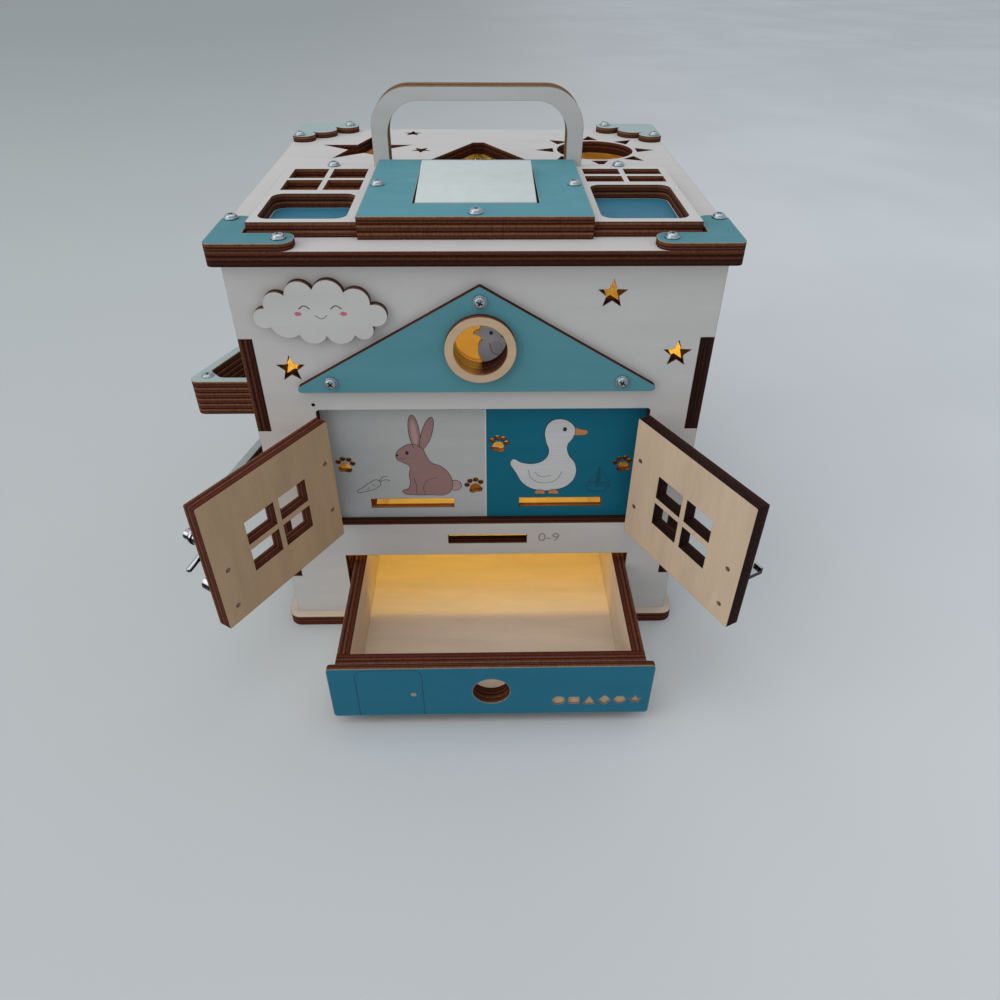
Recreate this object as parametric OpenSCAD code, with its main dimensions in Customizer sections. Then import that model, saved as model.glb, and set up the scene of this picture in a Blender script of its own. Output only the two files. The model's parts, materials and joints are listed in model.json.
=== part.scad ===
// Wooden activity cube: a plywood house with two hinged doors, a drawer, a lit inside
// and sorting trays. Millimetres. X runs to the right, Y into the house and Z up.
// The origin is the centre of the underside of the base, on the ground.

/* [Sheets] */
// Thickness of the thick plywood: walls, doors, base and roof
ply = 6; // [5:0.5:7]
// Thickness of the thin plywood: plates, frames and linings
sheet = 3; // [2.5:0.5:4]

/* [House] */
// Width and depth across the outside of the walls
body_w = 200; // [199:1:240]
// Height of the walls, between base and roof
wall_h = 194; // [190:1:230]
// How far base and roof stand out past the walls
overhang = 4.5; // [4:0.5:8]
// Corner radius of the base
base_corner_r = 6; // [2:0.5:12]
// Corner radius of the roof
roof_corner_r = 3; // [1:0.5:6]
// Height of each finger joint along a wall's edge
finger_h = 45.3; // [30:0.1:60]
// Height of the lower finger joint above the ground
finger_low_z = 32.4; // [20:0.1:50]
// Height of the upper finger joint above the ground
finger_high_z = 122.4; // [112:0.1:140]

/* [Doorway] */
// Width of the doorway
doorway_w = 149.8; // [146:0.1:156]
// Height of the doorway
doorway_h = 66.4; // [62:0.1:68]
// Height of the doorway's sill
doorway_z = 66.9; // [66:0.1:70]
// Offset of the doorway's middle to the right
doorway_x = 2.3; // [0:0.1:4]
// How far the lining reaches past the doorway all round
lining_lap = 6; // [4:0.5:6.5]
// Length of the two slots in the lining
lining_slot_w = 41.2; // [30:0.1:50]
// Height of the two slots in the lining
lining_slot_h = 5.6; // [5:0.1:8]
// Height of the two slots above the sill
lining_slot_up = 6.1; // [4:0.1:9]
// Distance of each slot's middle from the lining's middle
lining_slot_off = 36.8; // [30:0.1:40]
// Size of a paw-shaped hole, across its toes
paw_w = 10.1; // [8:0.1:10.3]

/* [Doors] */
// Gap between a door and the doorway's side
door_hinge_gap = 0.7; // [0.5:0.1:1.2]
// Gap between the two doors
door_middle_gap = 1; // [0.6:0.1:2]
// Gap below each door
door_sill_gap = 0.5; // [0.3:0.1:1]
// Gap above each door
door_head_gap = 1.3; // [0.5:0.1:2]
// Gap between a closed door and the lining behind it
door_seat_gap = 0.2; // [0.1:0.05:0.4]
// Angle at which the left door stands open at rest
left_open = 122.1; // [90:0.1:140]
// Angle at which the right door stands open at rest
right_open = 117.5; // [90:0.1:140]
// Width of a window pane
door_pane_w = 16.3; // [12:0.1:18]
// Height of a window pane
door_pane_h = 11.7; // [8:0.1:13]
// Width of the bars between the panes
door_bar = 2.9; // [2:0.1:4]
// Distance of the window's middle from the door's hinge edge
window_along = 36.3; // [34:0.1:40]
// Height of the window's middle above the sill
window_up = 31.9; // [28:0.1:34]

/* [Door hinges] */
// Height of a hinge
hinge_h = 36; // [34:1:44]
// Height of a hinge's middle above the sill
hinge_up = 31.9; // [29:0.1:34]
// Reach of a hinge leaf from the pin
hinge_leaf_w = 10; // [9:0.1:10.4]
// Thickness of a hinge leaf
hinge_leaf_t = 1; // [0.8:0.1:1.2]
// Radius of a hinge knuckle
knuckle_r = 1.9; // [1.7:0.05:1.9]
// Radius of a hinge pin
hinge_pin_r = 1; // [0.8:0.05:1.1]
// Distance of the pin's axis in front of the wall
hinge_pin_out = 2; // [2:0.05:2.4]
// Distance of the pin's axis beside the doorway
hinge_pin_side = 0.3; // [0.2:0.05:0.5]
// Distance between the two screws of a leaf
hinge_screw_span = 26.3; // [22:0.1:28]

/* [Door hardware] */
// Distance of the latch and pull from each door's free edge
hardware_in = 6.7; // [6.2:0.1:8]
// Width of the latch plate and the keeper plate
hardware_plate_w = 11.6; // [10:0.1:12]
// Thickness of the latch plate and the keeper plate
hardware_plate_t = 1.2; // [1:0.1:1.6]
// Height of the latch pivot above the sill
latch_up = 40.2; // [38:0.1:42]
// Length of the latch's neck, from its pivot down to the arm
latch_neck = 4.2; // [3.4:0.1:4.6]
// Length of the latch arm from its neck
latch_arm = 11.6; // [11:0.1:12]
// Diameter of the latch arm
latch_arm_d = 2.4; // [2:0.1:2.6]
// Angle of the latch arm below level at rest
latch_droop = 21; // [16:1:24]
// Diameter of the latch knob
knob_d = 5; // [4.6:0.1:6]
// Diameter of the left pull
pull_d = 7; // [6:0.1:7.4]
// Length of a pull
pull_len = 10; // [8:0.1:15]
// Height of the left pull above the sill
pull_up = 14.8; // [14.4:0.1:16]
// Diameter of the right pull, a thin rod
rod_d = 2.6; // [2:0.1:3.4]
// Height of the right pull above the sill
rod_up = 18.6; // [16:0.1:21]

/* [Drawer] */
// Width of the drawer's opening
bay_w = 145.6; // [140:0.1:150]
// Height of the drawer's opening
bay_h = 40.6; // [36:0.1:44]
// Offset of the opening's middle to the right
bay_x = 3.1; // [1:0.1:4]
// Gap between the drawer and the opening on the left
bay_gap_left = 3.7; // [1:0.1:4]
// Gap between the drawer and the opening on the right
bay_gap_right = 0.5; // [0.3:0.1:1]
// Gap between the drawer and the opening above
bay_gap_top = 6.6; // [2:0.1:8]
// Running gap between the drawer and its guides, and under it
drawer_run = 0.3; // [0.2:0.05:0.4]
// Depth of the drawer's box
drawer_d = 170; // [120:1:180]
// How far the drawer's panel laps past its box at each side
panel_lap = 3.9; // [3.8:0.1:5]
// Corner radius of the drawer's panel
panel_corner_r = 2; // [1:0.5:4]
// How far the drawer stands out at rest
drawer_out = 66.3; // [0:0.1:90]
// Radius of the finger hole
finger_hole_r = 8.7; // [7:0.1:10]
// Height of the finger hole's middle above the drawer's underside
finger_hole_up = 16.9; // [14:0.1:18]
// Height of the plain shapes sunk in the panel
shape_h = 8.6; // [6:0.1:9]
// Depth of the plain shapes sunk in the panel
shape_sink = 0.6; // [0.3:0.1:1]
// Distance from one plain shape to the next
shape_pitch = 7.2; // [6.8:0.1:7.4]
// Height of the drawer's guides
guide_h = 26; // [15:1:34]

/* [Front] */
// Length of the slot below the doorway
letter_w = 40; // [30:0.1:50]
// Height of the slot below the doorway
letter_h = 5.8; // [5:0.1:6.2]
// Distance of the slot's middle below the sill
letter_down = 10; // [9.8:0.1:10.4]
// Width of the gable plate
gable_w = 163; // [140:1:164]
// Height of the gable plate
gable_h = 47.5; // [44:0.5:52]
// Height of the gable plate above the doorway
gable_up = 10.5; // [8:0.1:12]
// Outer radius of the porthole ring
ring_r = 15; // [14:0.1:16]
// Radius of the porthole
porthole_r = 11.3; // [9:0.1:12]
// Height of the porthole's middle above the gable plate's foot
porthole_up = 21; // [19:0.1:22]
// Width of the cloud plate
cloud_w = 54.4; // [44:0.1:56]
// Outer radius of a small star
star_r = 6.4; // [5:0.1:7]
// Depth of a star's notches, as a share of its outer radius
star_notch = 0.42; // [0.36:0.01:0.5]

/* [Roof block and switch] */
// Width of the block that carries the switch
block_w = 93.5; // [80:0.1:95]
// Depth of the block
block_d = 87; // [80:0.1:90]
// Side of the square rocker key
key_w = 50; // [44:0.1:52]
// Gap around the rocker key
key_gap = 1; // [0.8:0.1:1.5]
// Thickness of the rocker key's face
key_t = 2.5; // [2:0.1:3]
// Height of the rocker key's skirt below its face
key_skirt = 3.5; // [2.5:0.1:4]
// Tilt of the rocker key at rest
key_tilt = 4.7; // [4:0.1:6]
// Height of the rocker's pivot above the roof
pivot_up = 5; // [4.5:0.1:6]
// Height of the rocker key's face above its pivot
key_rise = 6.5; // [6.4:0.1:7.4]
// Distance of the rocker's pivot from the block's back
pivot_in = 43.8; // [42:0.1:50]
// Radius of the rocker's trunnions
trunnion_r = 1.5; // [1.2:0.05:1.8]
// Width of the switch's body
switch_w = 44; // [38:0.1:46]
// Depth of the switch's body below its flange
switch_deep = 12; // [10:0.1:16]
// Diameter of the lamp under the switch
lamp_d = 34; // [28:0.1:38]
// Height of the lamp
lamp_h = 7; // [6:0.1:10]
// Length of the battery box, across the house
battery_w = 66; // [58:1:80]
// Depth of the battery box, front to back
battery_d = 36; // [30:1:40]
// Height of the battery box
battery_h = 20; // [17:1:24]

/* [Handle] */
// Width of the handle
handle_w = 99.8; // [96:0.1:100]
// Height of the handle above the roof
handle_h = 40; // [32:0.1:50]
// Width of the handle's legs
leg_w = 7.5; // [6:0.1:8]
// Thickness of the handle's bar
bar_t = 5.7; // [5:0.1:8]
// Corner radius of the handle's outside
handle_r = 18; // [12:0.1:18]
// Corner radius of the handle's inside
handle_inner_r = 15; // [8:0.1:16]
// Distance of the handle's front face in front of the roof's middle
handle_front = 4.5; // [3:0.1:8]

/* [Roof frames] */
// Gap between each frame and the front bracket beside it
frame_side_gap = 1; // [0.5:0.1:3]
// Gap between each frame and the front bracket before it
frame_front_gap = 3.5; // [1:0.1:6]
// Height of each frame's gable
frame_peak = 4.5; // [3:0.1:6]
// Width of the rim beside the left frame's panes
left_pane_rim = 4.65; // [3.5:0.05:8]
// Width of the rim beside the right frame's panes
right_pane_rim = 3.75; // [3.5:0.05:8]
// Depth of a pane in the left frame
left_pane_d = 15.6; // [8:0.1:15.8]
// Depth of a pane in the right frame
right_pane_d = 9.2; // [7:0.1:9.4]
// Width of the bars between a frame's panes
frame_bar = 2.5; // [2:0.1:4]
// Width of the bar between the left frame's panes and its pocket
left_pocket_bar = 5.7; // [3:0.1:12]
// Width of the bar between the right frame's panes and its pocket
right_pocket_bar = 5.2; // [3:0.1:12]
// Width of the rim beside the pockets
pocket_rim = 4.1; // [3.5:0.1:7]
// Corner radius of the pockets
pocket_r = 5; // [3:0.1:7]
// Distance of the panes from the frame's back corners
pane_in = 5.6; // [5:0.1:7]
// Distance of the pockets from the frame's front
pocket_in = 4.3; // [3:0.1:5]

/* [Roof plates and cut-outs] */
// Length of a front bracket's arms
bracket_arm = 34; // [28:0.1:36]
// Width of a front bracket's arms
bracket_w = 12.5; // [12:0.1:13]
// Reach of a rear bracket from its corner
cloud_arm = 34; // [28:0.1:38]
// Outer radius of the star cut-out
big_star_r = 26.3; // [22:0.1:27]
// Side of the triangle cut-out
triangle_side = 55.5; // [46:0.1:58]
// Length of the triangle's blunted corners
triangle_blunt = 6; // [4:0.1:8]
// Radius of the sun cut-out
sun_r = 20.7; // [17:0.1:21]
// Length of the sun's rays
ray_len = 10; // [7:0.1:10.4]
// Width of the sun's rays
ray_w = 9; // [6:0.1:10]
// Outer radius of the roof's small stars
roof_star_r = 5.8; // [4.5:0.1:6.4]

/* [Side trays] */
// How far the upper tray stands out from the wall
upper_tray_out = 42.4; // [36:0.1:46]
// How far the lower tray stands out from the wall
lower_tray_out = 36.5; // [32:0.1:46]
// Length of the upper tray along the wall
upper_tray_len = 102; // [90:1:120]
// Length of the lower tray along the wall
lower_tray_len = 149; // [90:1:158]
// Distance of the trays' front edge from the wall's front
tray_in = 35; // [30:0.5:40]
// Number of sheets in a tray's stack, below its top sheet
tray_layers = 5; // [3:1:6]
// Height of the upper tray's top
upper_tray_z = 128.5; // [118:0.5:140]
// Height of the lower tray's top
lower_tray_z = 70; // [40:0.5:78]
// Width of the rim around a tray's pocket
tray_rim = 4.3; // [3.8:0.1:5]
// Radius of a tray's outer corner
tray_corner_r = 4; // [3:0.5:6]
// Length of the tab that goes through the wall
tray_tab_len = 40; // [20:1:44]

/* [Screws] */
// Diameter of the large screws' heads
head_d = 6; // [5.6:0.1:6.4]
// Height of the large screws' heads
head_h = 2; // [1.6:0.1:2.4]
// Diameter of the large screws' shafts
shaft_d = 2.9; // [2.4:0.1:3]
// Diameter of the small screws' heads
small_head_d = 4.4; // [4:0.1:4.8]
// Height of the small screws' heads
small_head_h = 1.2; // [1:0.1:1.3]
// Diameter of the small screws' shafts
small_shaft_d = 2; // [1.6:0.1:2.2]
// Radial gap around every shaft and pin
bore_gap = 0.05; // [0.03:0.01:0.08]

/* [Back] */
// Radius of the arched plate on the back wall's inside
arch_r = 15; // [12:0.5:18]
// Height of the arched plate
arch_h = 45; // [36:1:60]
// Distance of the arched plate's top below the roof
arch_down = 5; // [3:0.5:8]

/* [Hidden] */
$fn = 48;
bend_steps = 8;
half = body_w / 2;
inner = half - ply;
plate_half = half + overhang;
z_floor = ply;
z_eaves = ply + wall_h;
z_roof = z_eaves + ply;

// Front: planes and places
front = -half;
lining_y = front + ply;
doorway_left = doorway_x - doorway_w / 2;
doorway_right = doorway_x + doorway_w / 2;
doorway_top = doorway_z + doorway_h;
lining_x = doorway_x + 0.95;
letter_x = doorway_x + 1.3;
letter_z = doorway_z - letter_down;
gable_x = -0.5;
gable_z = doorway_top + gable_up;
// How far the gable's peak stands to the right of its foot's middle
gable_lean = 1.65;
porthole_x = gable_x + gable_lean;
porthole_z = gable_z + porthole_up;
gable_foot_r = 1.5;
gable_peak_r = 1;
gable_screw_in = 18.75;
gable_screw_up = 4.7;
gable_screw_down = 6.35;
gable_bores = [
    [gable_lean, gable_h - gable_screw_down],
    [gable_screw_in - gable_w / 2, gable_screw_up],
    [gable_w / 2 - gable_screw_in, gable_screw_up]
];
cloud_in = 36.3;
cloud_down = 19.1;
cloud_x = cloud_in - half;
cloud_z = z_eaves - cloud_down;
// The cloud's lobes as [across, up, radius] for a cloud 54.4 wide
cloud_lobes = [
    [-22.7, -2.8, 4.4], [-16.8, 3, 5.4], [-7.2, 6.9, 5.9], [4.2, 6.8, 6.5], [14.8, 3.8, 6],
    [22.4, -1.7, 4.8], [-13.8, -4.2, 7.2], [-3.8, -8.2, 5.9], [7.4, -7.9, 6.3], [16.9, -7.9, 4.3]
];
cloud_drawn_w = 54.4;
// Small stars of the front wall as [side, distance from that side, distance below the roof]
front_stars = [[1, 45, 13.3], [1, 14.9, 39.9], [-1, 20, 46.2]];
pin_hole_r = 0.8;
pin_hole = [-73.2, 2.7];
// Paw-shaped holes as [across from the lining's middle, up from the sill, turn]
paws = [[-67.7, 31.7, -8], [-5.7, 18.8, 14], [5.8, 43.1, -12], [66.1, 31.1, 10]];

// Doors
door_w = (doorway_w - 2 * door_hinge_gap - door_middle_gap) / 2;
door_h = doorway_h - door_sill_gap - door_head_gap;
door_z = doorway_z + door_sill_gap;
door_back = lining_y - door_seat_gap;
door_face = door_back - ply;
left_edge = doorway_left + door_hinge_gap;
right_edge = doorway_right - door_hinge_gap;
hinge_z = doorway_z + hinge_up;
pin_y = front - hinge_pin_out;
left_pin_x = doorway_left - hinge_pin_side;
right_pin_x = doorway_right + hinge_pin_side;
knuckle_gap = 0.15;
knuckle_h = (hinge_h - 2 * knuckle_gap) / 3;
leaf_relief = knuckle_r + 0.2;
leaf_screw_out = 6;
door_screw_along = leaf_screw_out - door_hinge_gap - hinge_pin_side;
pin_head_r = hinge_pin_r + 0.5;
pin_head_h = 0.8;

// Latch, keeper and pulls, measured off the door's outer face
hardware_along = door_w - hardware_in;
plate_foot = 3.1;
latch_plate_h = 43;
keeper_plate_h = 30;
latch_z = doorway_z + latch_up;
latch_stud_r = 1.5;
latch_hub_r = 2.7;
latch_run = 0.3;
latch_hub_end = 9;
latch_stud_end = 8;
latch_knob_end = 14.8;
latch_flange_r = knob_d / 2 + 0.75;
arm_off = 4.6;
keeper_in = 0.3;
keeper_w = 4;
keeper_stem_down = 14.3;
keeper_stem_z = latch_z - keeper_stem_down;
keeper_stem_t = 2;
keeper_end = 7.4;
keeper_lip_t = 1.2;
keeper_lip_h = 3.4;
hardware_screws = [9.1, 29.2];
rod_foot_r = 3;

// Drawer
bay_left = bay_x - bay_w / 2;
box_left = bay_left + bay_gap_left;
box_w = bay_w - bay_gap_left - bay_gap_right;
box_x = box_left + box_w / 2;
box_z = z_floor + drawer_run;
box_h = bay_h - bay_gap_top - drawer_run;
panel_w = box_w + 2 * panel_lap;
box_front = front - drawer_out;
shapes_in = 39.1;
shapes_x = box_x + box_w / 2 - shapes_in;
shapes_up = 9.6;

// Roof block, switch and handle
block_x = -0.25;
roof_mid_x = 0.45;
switch_x = -0.15;
handle_y = -handle_front;
block_front = handle_y - block_d;
pivot_y = handle_y - pivot_in;
pivot_z = z_roof + pivot_up;
key_hole = key_w + 2 * key_gap;
flange_gap = 0.6;
flange_w = key_hole - 2 * flange_gap;
flange_t = 2;
switch_fit = 0.3;
ear_t = 3;
ear_d = 9;
ear_in = 17;
ear_wall = 1.2;
key_lug_t = 2.5;
key_wall = 2;
lug_gap = 0.3;
lamp_base_h = 3;
lamp_lens_h = lamp_h - lamp_base_h;
battery_gap = 8;
battery_y = pivot_y + switch_w / 2 + battery_gap + battery_d / 2;
cover_t = 2;
lead_r = 0.7;
lead_down = 4;
battery_low = [switch_x - battery_w / 2, battery_y - battery_d / 2, z_eaves - battery_h];
leads = [-4, 4];
cell_d = 10.5;
cell_len = 44.5;
cell_gap = 0.1;
block_screw_in = 3.9;
block_screw_up = 4.5;
block_screw_y = pivot_y + 1;
block_screws = [
    [block_x - block_w / 2 + block_screw_in, block_screw_y],
    [block_x + block_w / 2 - block_screw_in, block_screw_y],
    [switch_x, block_front + block_screw_up]
];
leg_fit = 0.1;

// Frames beside the block
left_frame_right = block_x - block_w / 2;
right_frame_left = block_x + block_w / 2;
frame_w = left_frame_right + plate_half - bracket_w - frame_side_gap;
frame_front = bracket_w + frame_front_gap - plate_half;
frame_past_handle = 0.5;
frame_back = handle_y + frame_past_handle;
frame_mid_bar = 3.4;
left_pane_w = (frame_w - frame_bar) / 2 - left_pane_rim;
right_pane_w = (frame_w - frame_bar) / 2 - right_pane_rim;
pocket_w = frame_w - 2 * pocket_rim;
left_pocket_shift = -1;
pocket_front = frame_front + pocket_in;
left_pocket_d = frame_back - pane_in - 2 * left_pane_d - frame_mid_bar - left_pocket_bar - pocket_front;
right_pocket_d = frame_back - pane_in - 2 * right_pane_d - frame_mid_bar - right_pocket_bar - pocket_front;

// Roof cut-outs
star_in = [38.6, 42.8];
star_at = [star_in.x - half, half - star_in.y];
triangle_x = 0.4;
triangle_in = 56;
triangle_at = [triangle_x, half - triangle_in];
sun_in = [35.7, 46.5];
sun_at = [half - sun_in.x, half - sun_in.y];
sun_gap = 2.2;
ray_count = 8;
// Small roof stars as [distance from the left, distance from the back, turn]
roof_stars = [[61.7, 6.6, 0], [69, 46.5, 180], [11.8, 83.7, 0]];
// Rear bracket's lobes as [from the side, from the back, radius], for a reach of 34
cloud_bites = [[5.6, 27.5, 6.5], [14.6, 15.6, 8], [27.5, 5.6, 6.5]];
cloud_drawn = 34;
arm_screw_in = 5.7;
leg_screw_side = 4;
leg_screw_in = 3.5;
front_bracket_screws = [
    [bracket_arm - arm_screw_in, bracket_w / 2],
    [leg_screw_side, bracket_arm - leg_screw_in]
];
rear_bracket_screws = [[3.9, cloud_arm - 4.7], [cloud_arm - 5.2, 4]];
frame_screw_in = 3.9;

// Side trays
// Each tray as [how far it stands out, length along the wall, height of its top]
upper_tray = [upper_tray_out, upper_tray_len, upper_tray_z];
lower_tray = [lower_tray_out, lower_tray_len, lower_tray_z];
tray_front = front + tray_in;
tray_screw_up = 6.6;
tray_screw_side = 6;
tray_pocket_r = 2;
tray_bend_r = 5;
tray_bend_up = 11.5;
tray_bend_along = 15.9;
tray_root = 1;
tray_tab_fit = 0.1;
tray_tab_down = 2 * sheet;
tray_tab_in = 15;
tray_tab_y = tray_front + tray_tab_in;

// Back wall
arch_top = z_eaves - arch_down;
arch_bolt_down = 3.4;
nut_t = 2.4;
nut_flats = 5.5;
bolt_spare = 1.5;

function star_points(outer, share) = [
    for (i = [0:9])
        let (r = i % 2 == 0 ? outer : outer * share)
            [r * cos(90 + 36 * i), r * sin(90 + 36 * i)]
];
function unit(v) = v / norm(v);
function tray_slope(tray) = atan2(tray.y, tray.x);
// Point on a tray at a distance behind its front edge and in from its long side
function tray_point(tray, up, side) = [
    up / tan(tray_slope(tray)) + side / sin(tray_slope(tray)) - half - tray.x,
    tray_front + up
];

// Sheet standing across the house, from y backwards: its outline lies in X and Z
module upright(y, t) {
    translate([0, y + t, 0]) rotate([90, 0, 0]) linear_extrude(t) children();
}

// Sheet standing along the house, from x to the right: its outline lies in Y and Z
module sideways(x, t) {
    translate([x, 0, 0]) rotate([90, 0, 90]) linear_extrude(t) children();
}

// Sheet lying flat, from z upwards
module lying(z, t) {
    translate([0, 0, z]) linear_extrude(t) children();
}

// Rectangle from a low corner, with rounded corners
module rounded_rect(low, size, r) {
    translate([low.x + r, low.y]) square([size.x - 2 * r, size.y]);
    translate([low.x, low.y + r]) square([size.x, size.y - 2 * r]);
    for (x = [r, size.x - r], y = [r, size.y - r]) translate([low.x + x, low.y + y]) circle(r);
}

// Polygon given anticlockwise, each corner bent by its own radius in short steps
module rounded_polygon(points, radii) {
    n = len(points);
    polygon([
        for (i = [0:n - 1])
            let (
                here = points[i],
                back = unit(here - points[(i + n - 1) % n]),
                ahead = unit(points[(i + 1) % n] - here),
                turn = acos(back * ahead),
                middle = here + unit(ahead - back) * radii[i] / cos(turn / 2),
                first = atan2(-back.x, back.y)
            )
            for (step = [0:bend_steps])
                let (a = first + turn * step / bend_steps)
                middle + radii[i] * [cos(a), sin(a)]
    ]);
}

// Pan-head screw on the XY plane: head upwards, shaft down
module screw(d, h, shaft, length) {
    difference() {
        rotate_extrude() polygon([
            [0, -length], [shaft / 2, -length], [shaft / 2, 0], [d / 2, 0],
            [d / 2, h * 0.4], [d * 0.4, h * 0.82], [d * 0.24, h], [0, h]
        ]);
        for (turn = [0, 90]) rotate(turn) {
            translate([-d * 0.28, -d * 0.06, h * 0.45]) cube([d * 0.56, d * 0.12, h]);
        }
    }
}

module large_screw(length) {
    screw(head_d, head_h, shaft_d, length);
}

module small_screw(length) {
    screw(small_head_d, small_head_h, small_shaft_d, length);
}

module large_bore() {
    circle(d = shaft_d + 2 * bore_gap, $fn = 32);
}

module small_bore() {
    circle(d = small_shaft_d + 2 * bore_gap, $fn = 32);
}

// House shell
module base_plate() {
    color([0.79, 0.68, 0.53]) lying(0, ply)
        rounded_rect([-plate_half, -plate_half], [2 * plate_half, 2 * plate_half], base_corner_r);
}

// Outline of the front or back wall, notched for the side walls' fingers
module cross_wall_outline() {
    difference() {
        translate([-half, z_floor]) square([body_w, wall_h]);
        for (x = [-half - 1, inner], z = [finger_low_z, finger_high_z])
            translate([x, z]) square([ply + 1, finger_h]);
    }
}

module front_wall() {
    color([0.80, 0.81, 0.82]) upright(front, ply) difference() {
        cross_wall_outline();
        rounded_rect([doorway_left, doorway_z], [doorway_w, doorway_h], 1.5);
        translate([bay_left, z_floor - 1]) square([bay_w, bay_h + 1]);
        translate([letter_x - letter_w / 2, letter_z - letter_h / 2]) square([letter_w, letter_h]);
        for (s = front_stars) translate([s[0] * (half - s[1]), z_eaves - s[2]])
            polygon(star_points(star_r, star_notch));
        translate([porthole_x, porthole_z]) circle(porthole_r);
        translate([pin_hole.x, doorway_top + pin_hole.y]) circle(pin_hole_r);
        for (s = gable_bores) translate([gable_x + s.x, gable_z + s.y]) large_bore();
        for (x = [left_pin_x - leaf_screw_out, right_pin_x + leaf_screw_out], z = [-1, 1])
            translate([x, hinge_z + z * hinge_screw_span / 2]) small_bore();
    }
}

module back_wall() {
    color([0.80, 0.81, 0.82]) upright(inner, ply) difference() {
        cross_wall_outline();
        translate([0, arch_top - arch_bolt_down]) large_bore();
    }
}

// Outline of a side wall with its fingers, in Y and Z
module side_wall_outline() {
    translate([-inner, z_floor]) square([2 * inner, wall_h]);
    for (z = [finger_low_z, finger_high_z]) translate([-half, z]) square([body_w, finger_h]);
}

module left_wall() {
    color([0.80, 0.81, 0.82]) sideways(-half, ply) difference() {
        side_wall_outline();
        for (tray = [upper_tray, lower_tray])
            translate([tray_tab_y - tray_tab_fit, tray.z - tray_tab_down - sheet - tray_tab_fit])
                square([tray_tab_len + 2 * tray_tab_fit, sheet + 2 * tray_tab_fit]);
    }
}

module right_wall() {
    color([0.80, 0.81, 0.82]) sideways(inner, ply) side_wall_outline();
}

// Roof
module frame_panes(left, pane_w, pane_d) {
    middle = left + frame_w / 2;
    for (col = [-frame_bar / 2 - pane_w, frame_bar / 2], row = [1, 2])
        translate([middle + col, frame_back - pane_in - row * pane_d - (row - 1) * frame_mid_bar])
            square([pane_w, pane_d]);
}

module left_panes() {
    frame_panes(left_frame_right - frame_w, left_pane_w, left_pane_d);
}

module right_panes() {
    frame_panes(right_frame_left, right_pane_w, right_pane_d);
}

module handle_feet(fit) {
    for (x = [-handle_w / 2, handle_w / 2 - leg_w])
        translate([roof_mid_x + x - fit, handle_y - fit]) square([leg_w + 2 * fit, 2 * ply + 2 * fit]);
}

function frame_screw_spot(x) = [x, frame_back + frame_peak - frame_screw_in, 2 * sheet];

// Places of the roof's screws as [x, y, height of the seat above the roof]
roof_screw_spots = concat(
    [for (s = front_bracket_screws, m = [-1, 1]) [m * (plate_half - s.x), -plate_half + s.y, sheet]],
    [for (s = rear_bracket_screws, m = [-1, 1]) [m * (plate_half - s.x), plate_half - s.y, sheet]],
    [for (s = block_screws) [s.x, s.y, 3 * sheet]],
    [for (x = [left_frame_right, right_frame_left + frame_w]) frame_screw_spot(x - frame_w / 2)]
);

module sun_rays() {
    foot = sun_r + sun_gap;
    for (i = [0:ray_count - 1]) rotate(360 * i / ray_count)
        polygon([[foot, -ray_w / 2], [foot + ray_len, 0], [foot, ray_w / 2]]);
}

module blunt_triangle(side, blunt) {
    corners = [for (i = [0:2]) side / sqrt(3) * [cos(90 + 120 * i), sin(90 + 120 * i)]];
    polygon([for (i = [0:2], to = [2, 1]) corners[i] + blunt * unit(corners[(i + to) % 3] - corners[i])]);
}

module roof_plate() {
    color([0.80, 0.81, 0.82]) lying(z_eaves, ply) difference() {
        rounded_rect([-plate_half, -plate_half], [2 * plate_half, 2 * plate_half], roof_corner_r);
        translate(star_at) polygon(star_points(big_star_r, 0.382));
        translate(triangle_at) blunt_triangle(triangle_side, triangle_blunt);
        translate(sun_at) {
            circle(sun_r);
            sun_rays();
        }
        for (s = roof_stars) translate([s.x - half, half - s.y]) rotate(s.z)
            polygon(star_points(roof_star_r, star_notch));
        left_panes();
        right_panes();
        switch_hole();
        handle_feet(leg_fit);
        for (s = roof_screw_spots) translate([s.x, s.y]) large_bore();
    }
}

module switch_hole() {
    w = switch_w + 2 * switch_fit;
    translate([switch_x - w / 2, pivot_y - w / 2]) square([w, w]);
}

module front_bracket_outline() {
    rounded_rect([0, 0], [bracket_arm, bracket_w], bracket_w * 0.4);
    rounded_rect([0, 0], [bracket_w, bracket_arm], bracket_w * 0.4);
    rounded_rect([0, 0], [bracket_w, bracket_w], roof_corner_r);
}

module front_bracket() {
    color([0.36, 0.57, 0.61]) lying(z_roof, sheet) difference() {
        translate([-plate_half, -plate_half]) front_bracket_outline();
        for (s = front_bracket_screws) translate([s.x - plate_half, s.y - plate_half]) large_bore();
    }
}

module left_front_bracket() {
    front_bracket();
}

module right_front_bracket() {
    mirror([1, 0, 0]) front_bracket();
}

module rear_bracket_outline() {
    k = cloud_arm / cloud_drawn;
    intersection() {
        rounded_rect([0, 0], [2 * cloud_arm, 2 * cloud_arm], roof_corner_r);
        union() {
            for (b = cloud_bites) translate([b.x, b.y] * k) circle(b.z * k);
            polygon([
                [0, 0], [cloud_bites[2].x, 0] * k, [cloud_bites[2].x, cloud_bites[2].y] * k,
                [cloud_bites[1].x, cloud_bites[1].y] * k, [cloud_bites[0].x, cloud_bites[0].y] * k,
                [0, cloud_bites[0].y] * k
            ]);
        }
    }
}

module rear_bracket() {
    color([0.55, 0.71, 0.70]) lying(z_roof, sheet) difference() {
        translate([-plate_half, plate_half]) mirror([0, 1]) rear_bracket_outline();
        for (s = rear_bracket_screws) translate([s.x - plate_half, plate_half - s.y]) large_bore();
    }
}

module left_rear_bracket() {
    rear_bracket();
}

module right_rear_bracket() {
    mirror([1, 0, 0]) rear_bracket();
}

module roof_screws() {
    color([0.72, 0.73, 0.74]) for (s = roof_screw_spots)
        translate([s.x, s.y, z_roof + s.z]) large_screw(ply + s.z);
}

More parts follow.
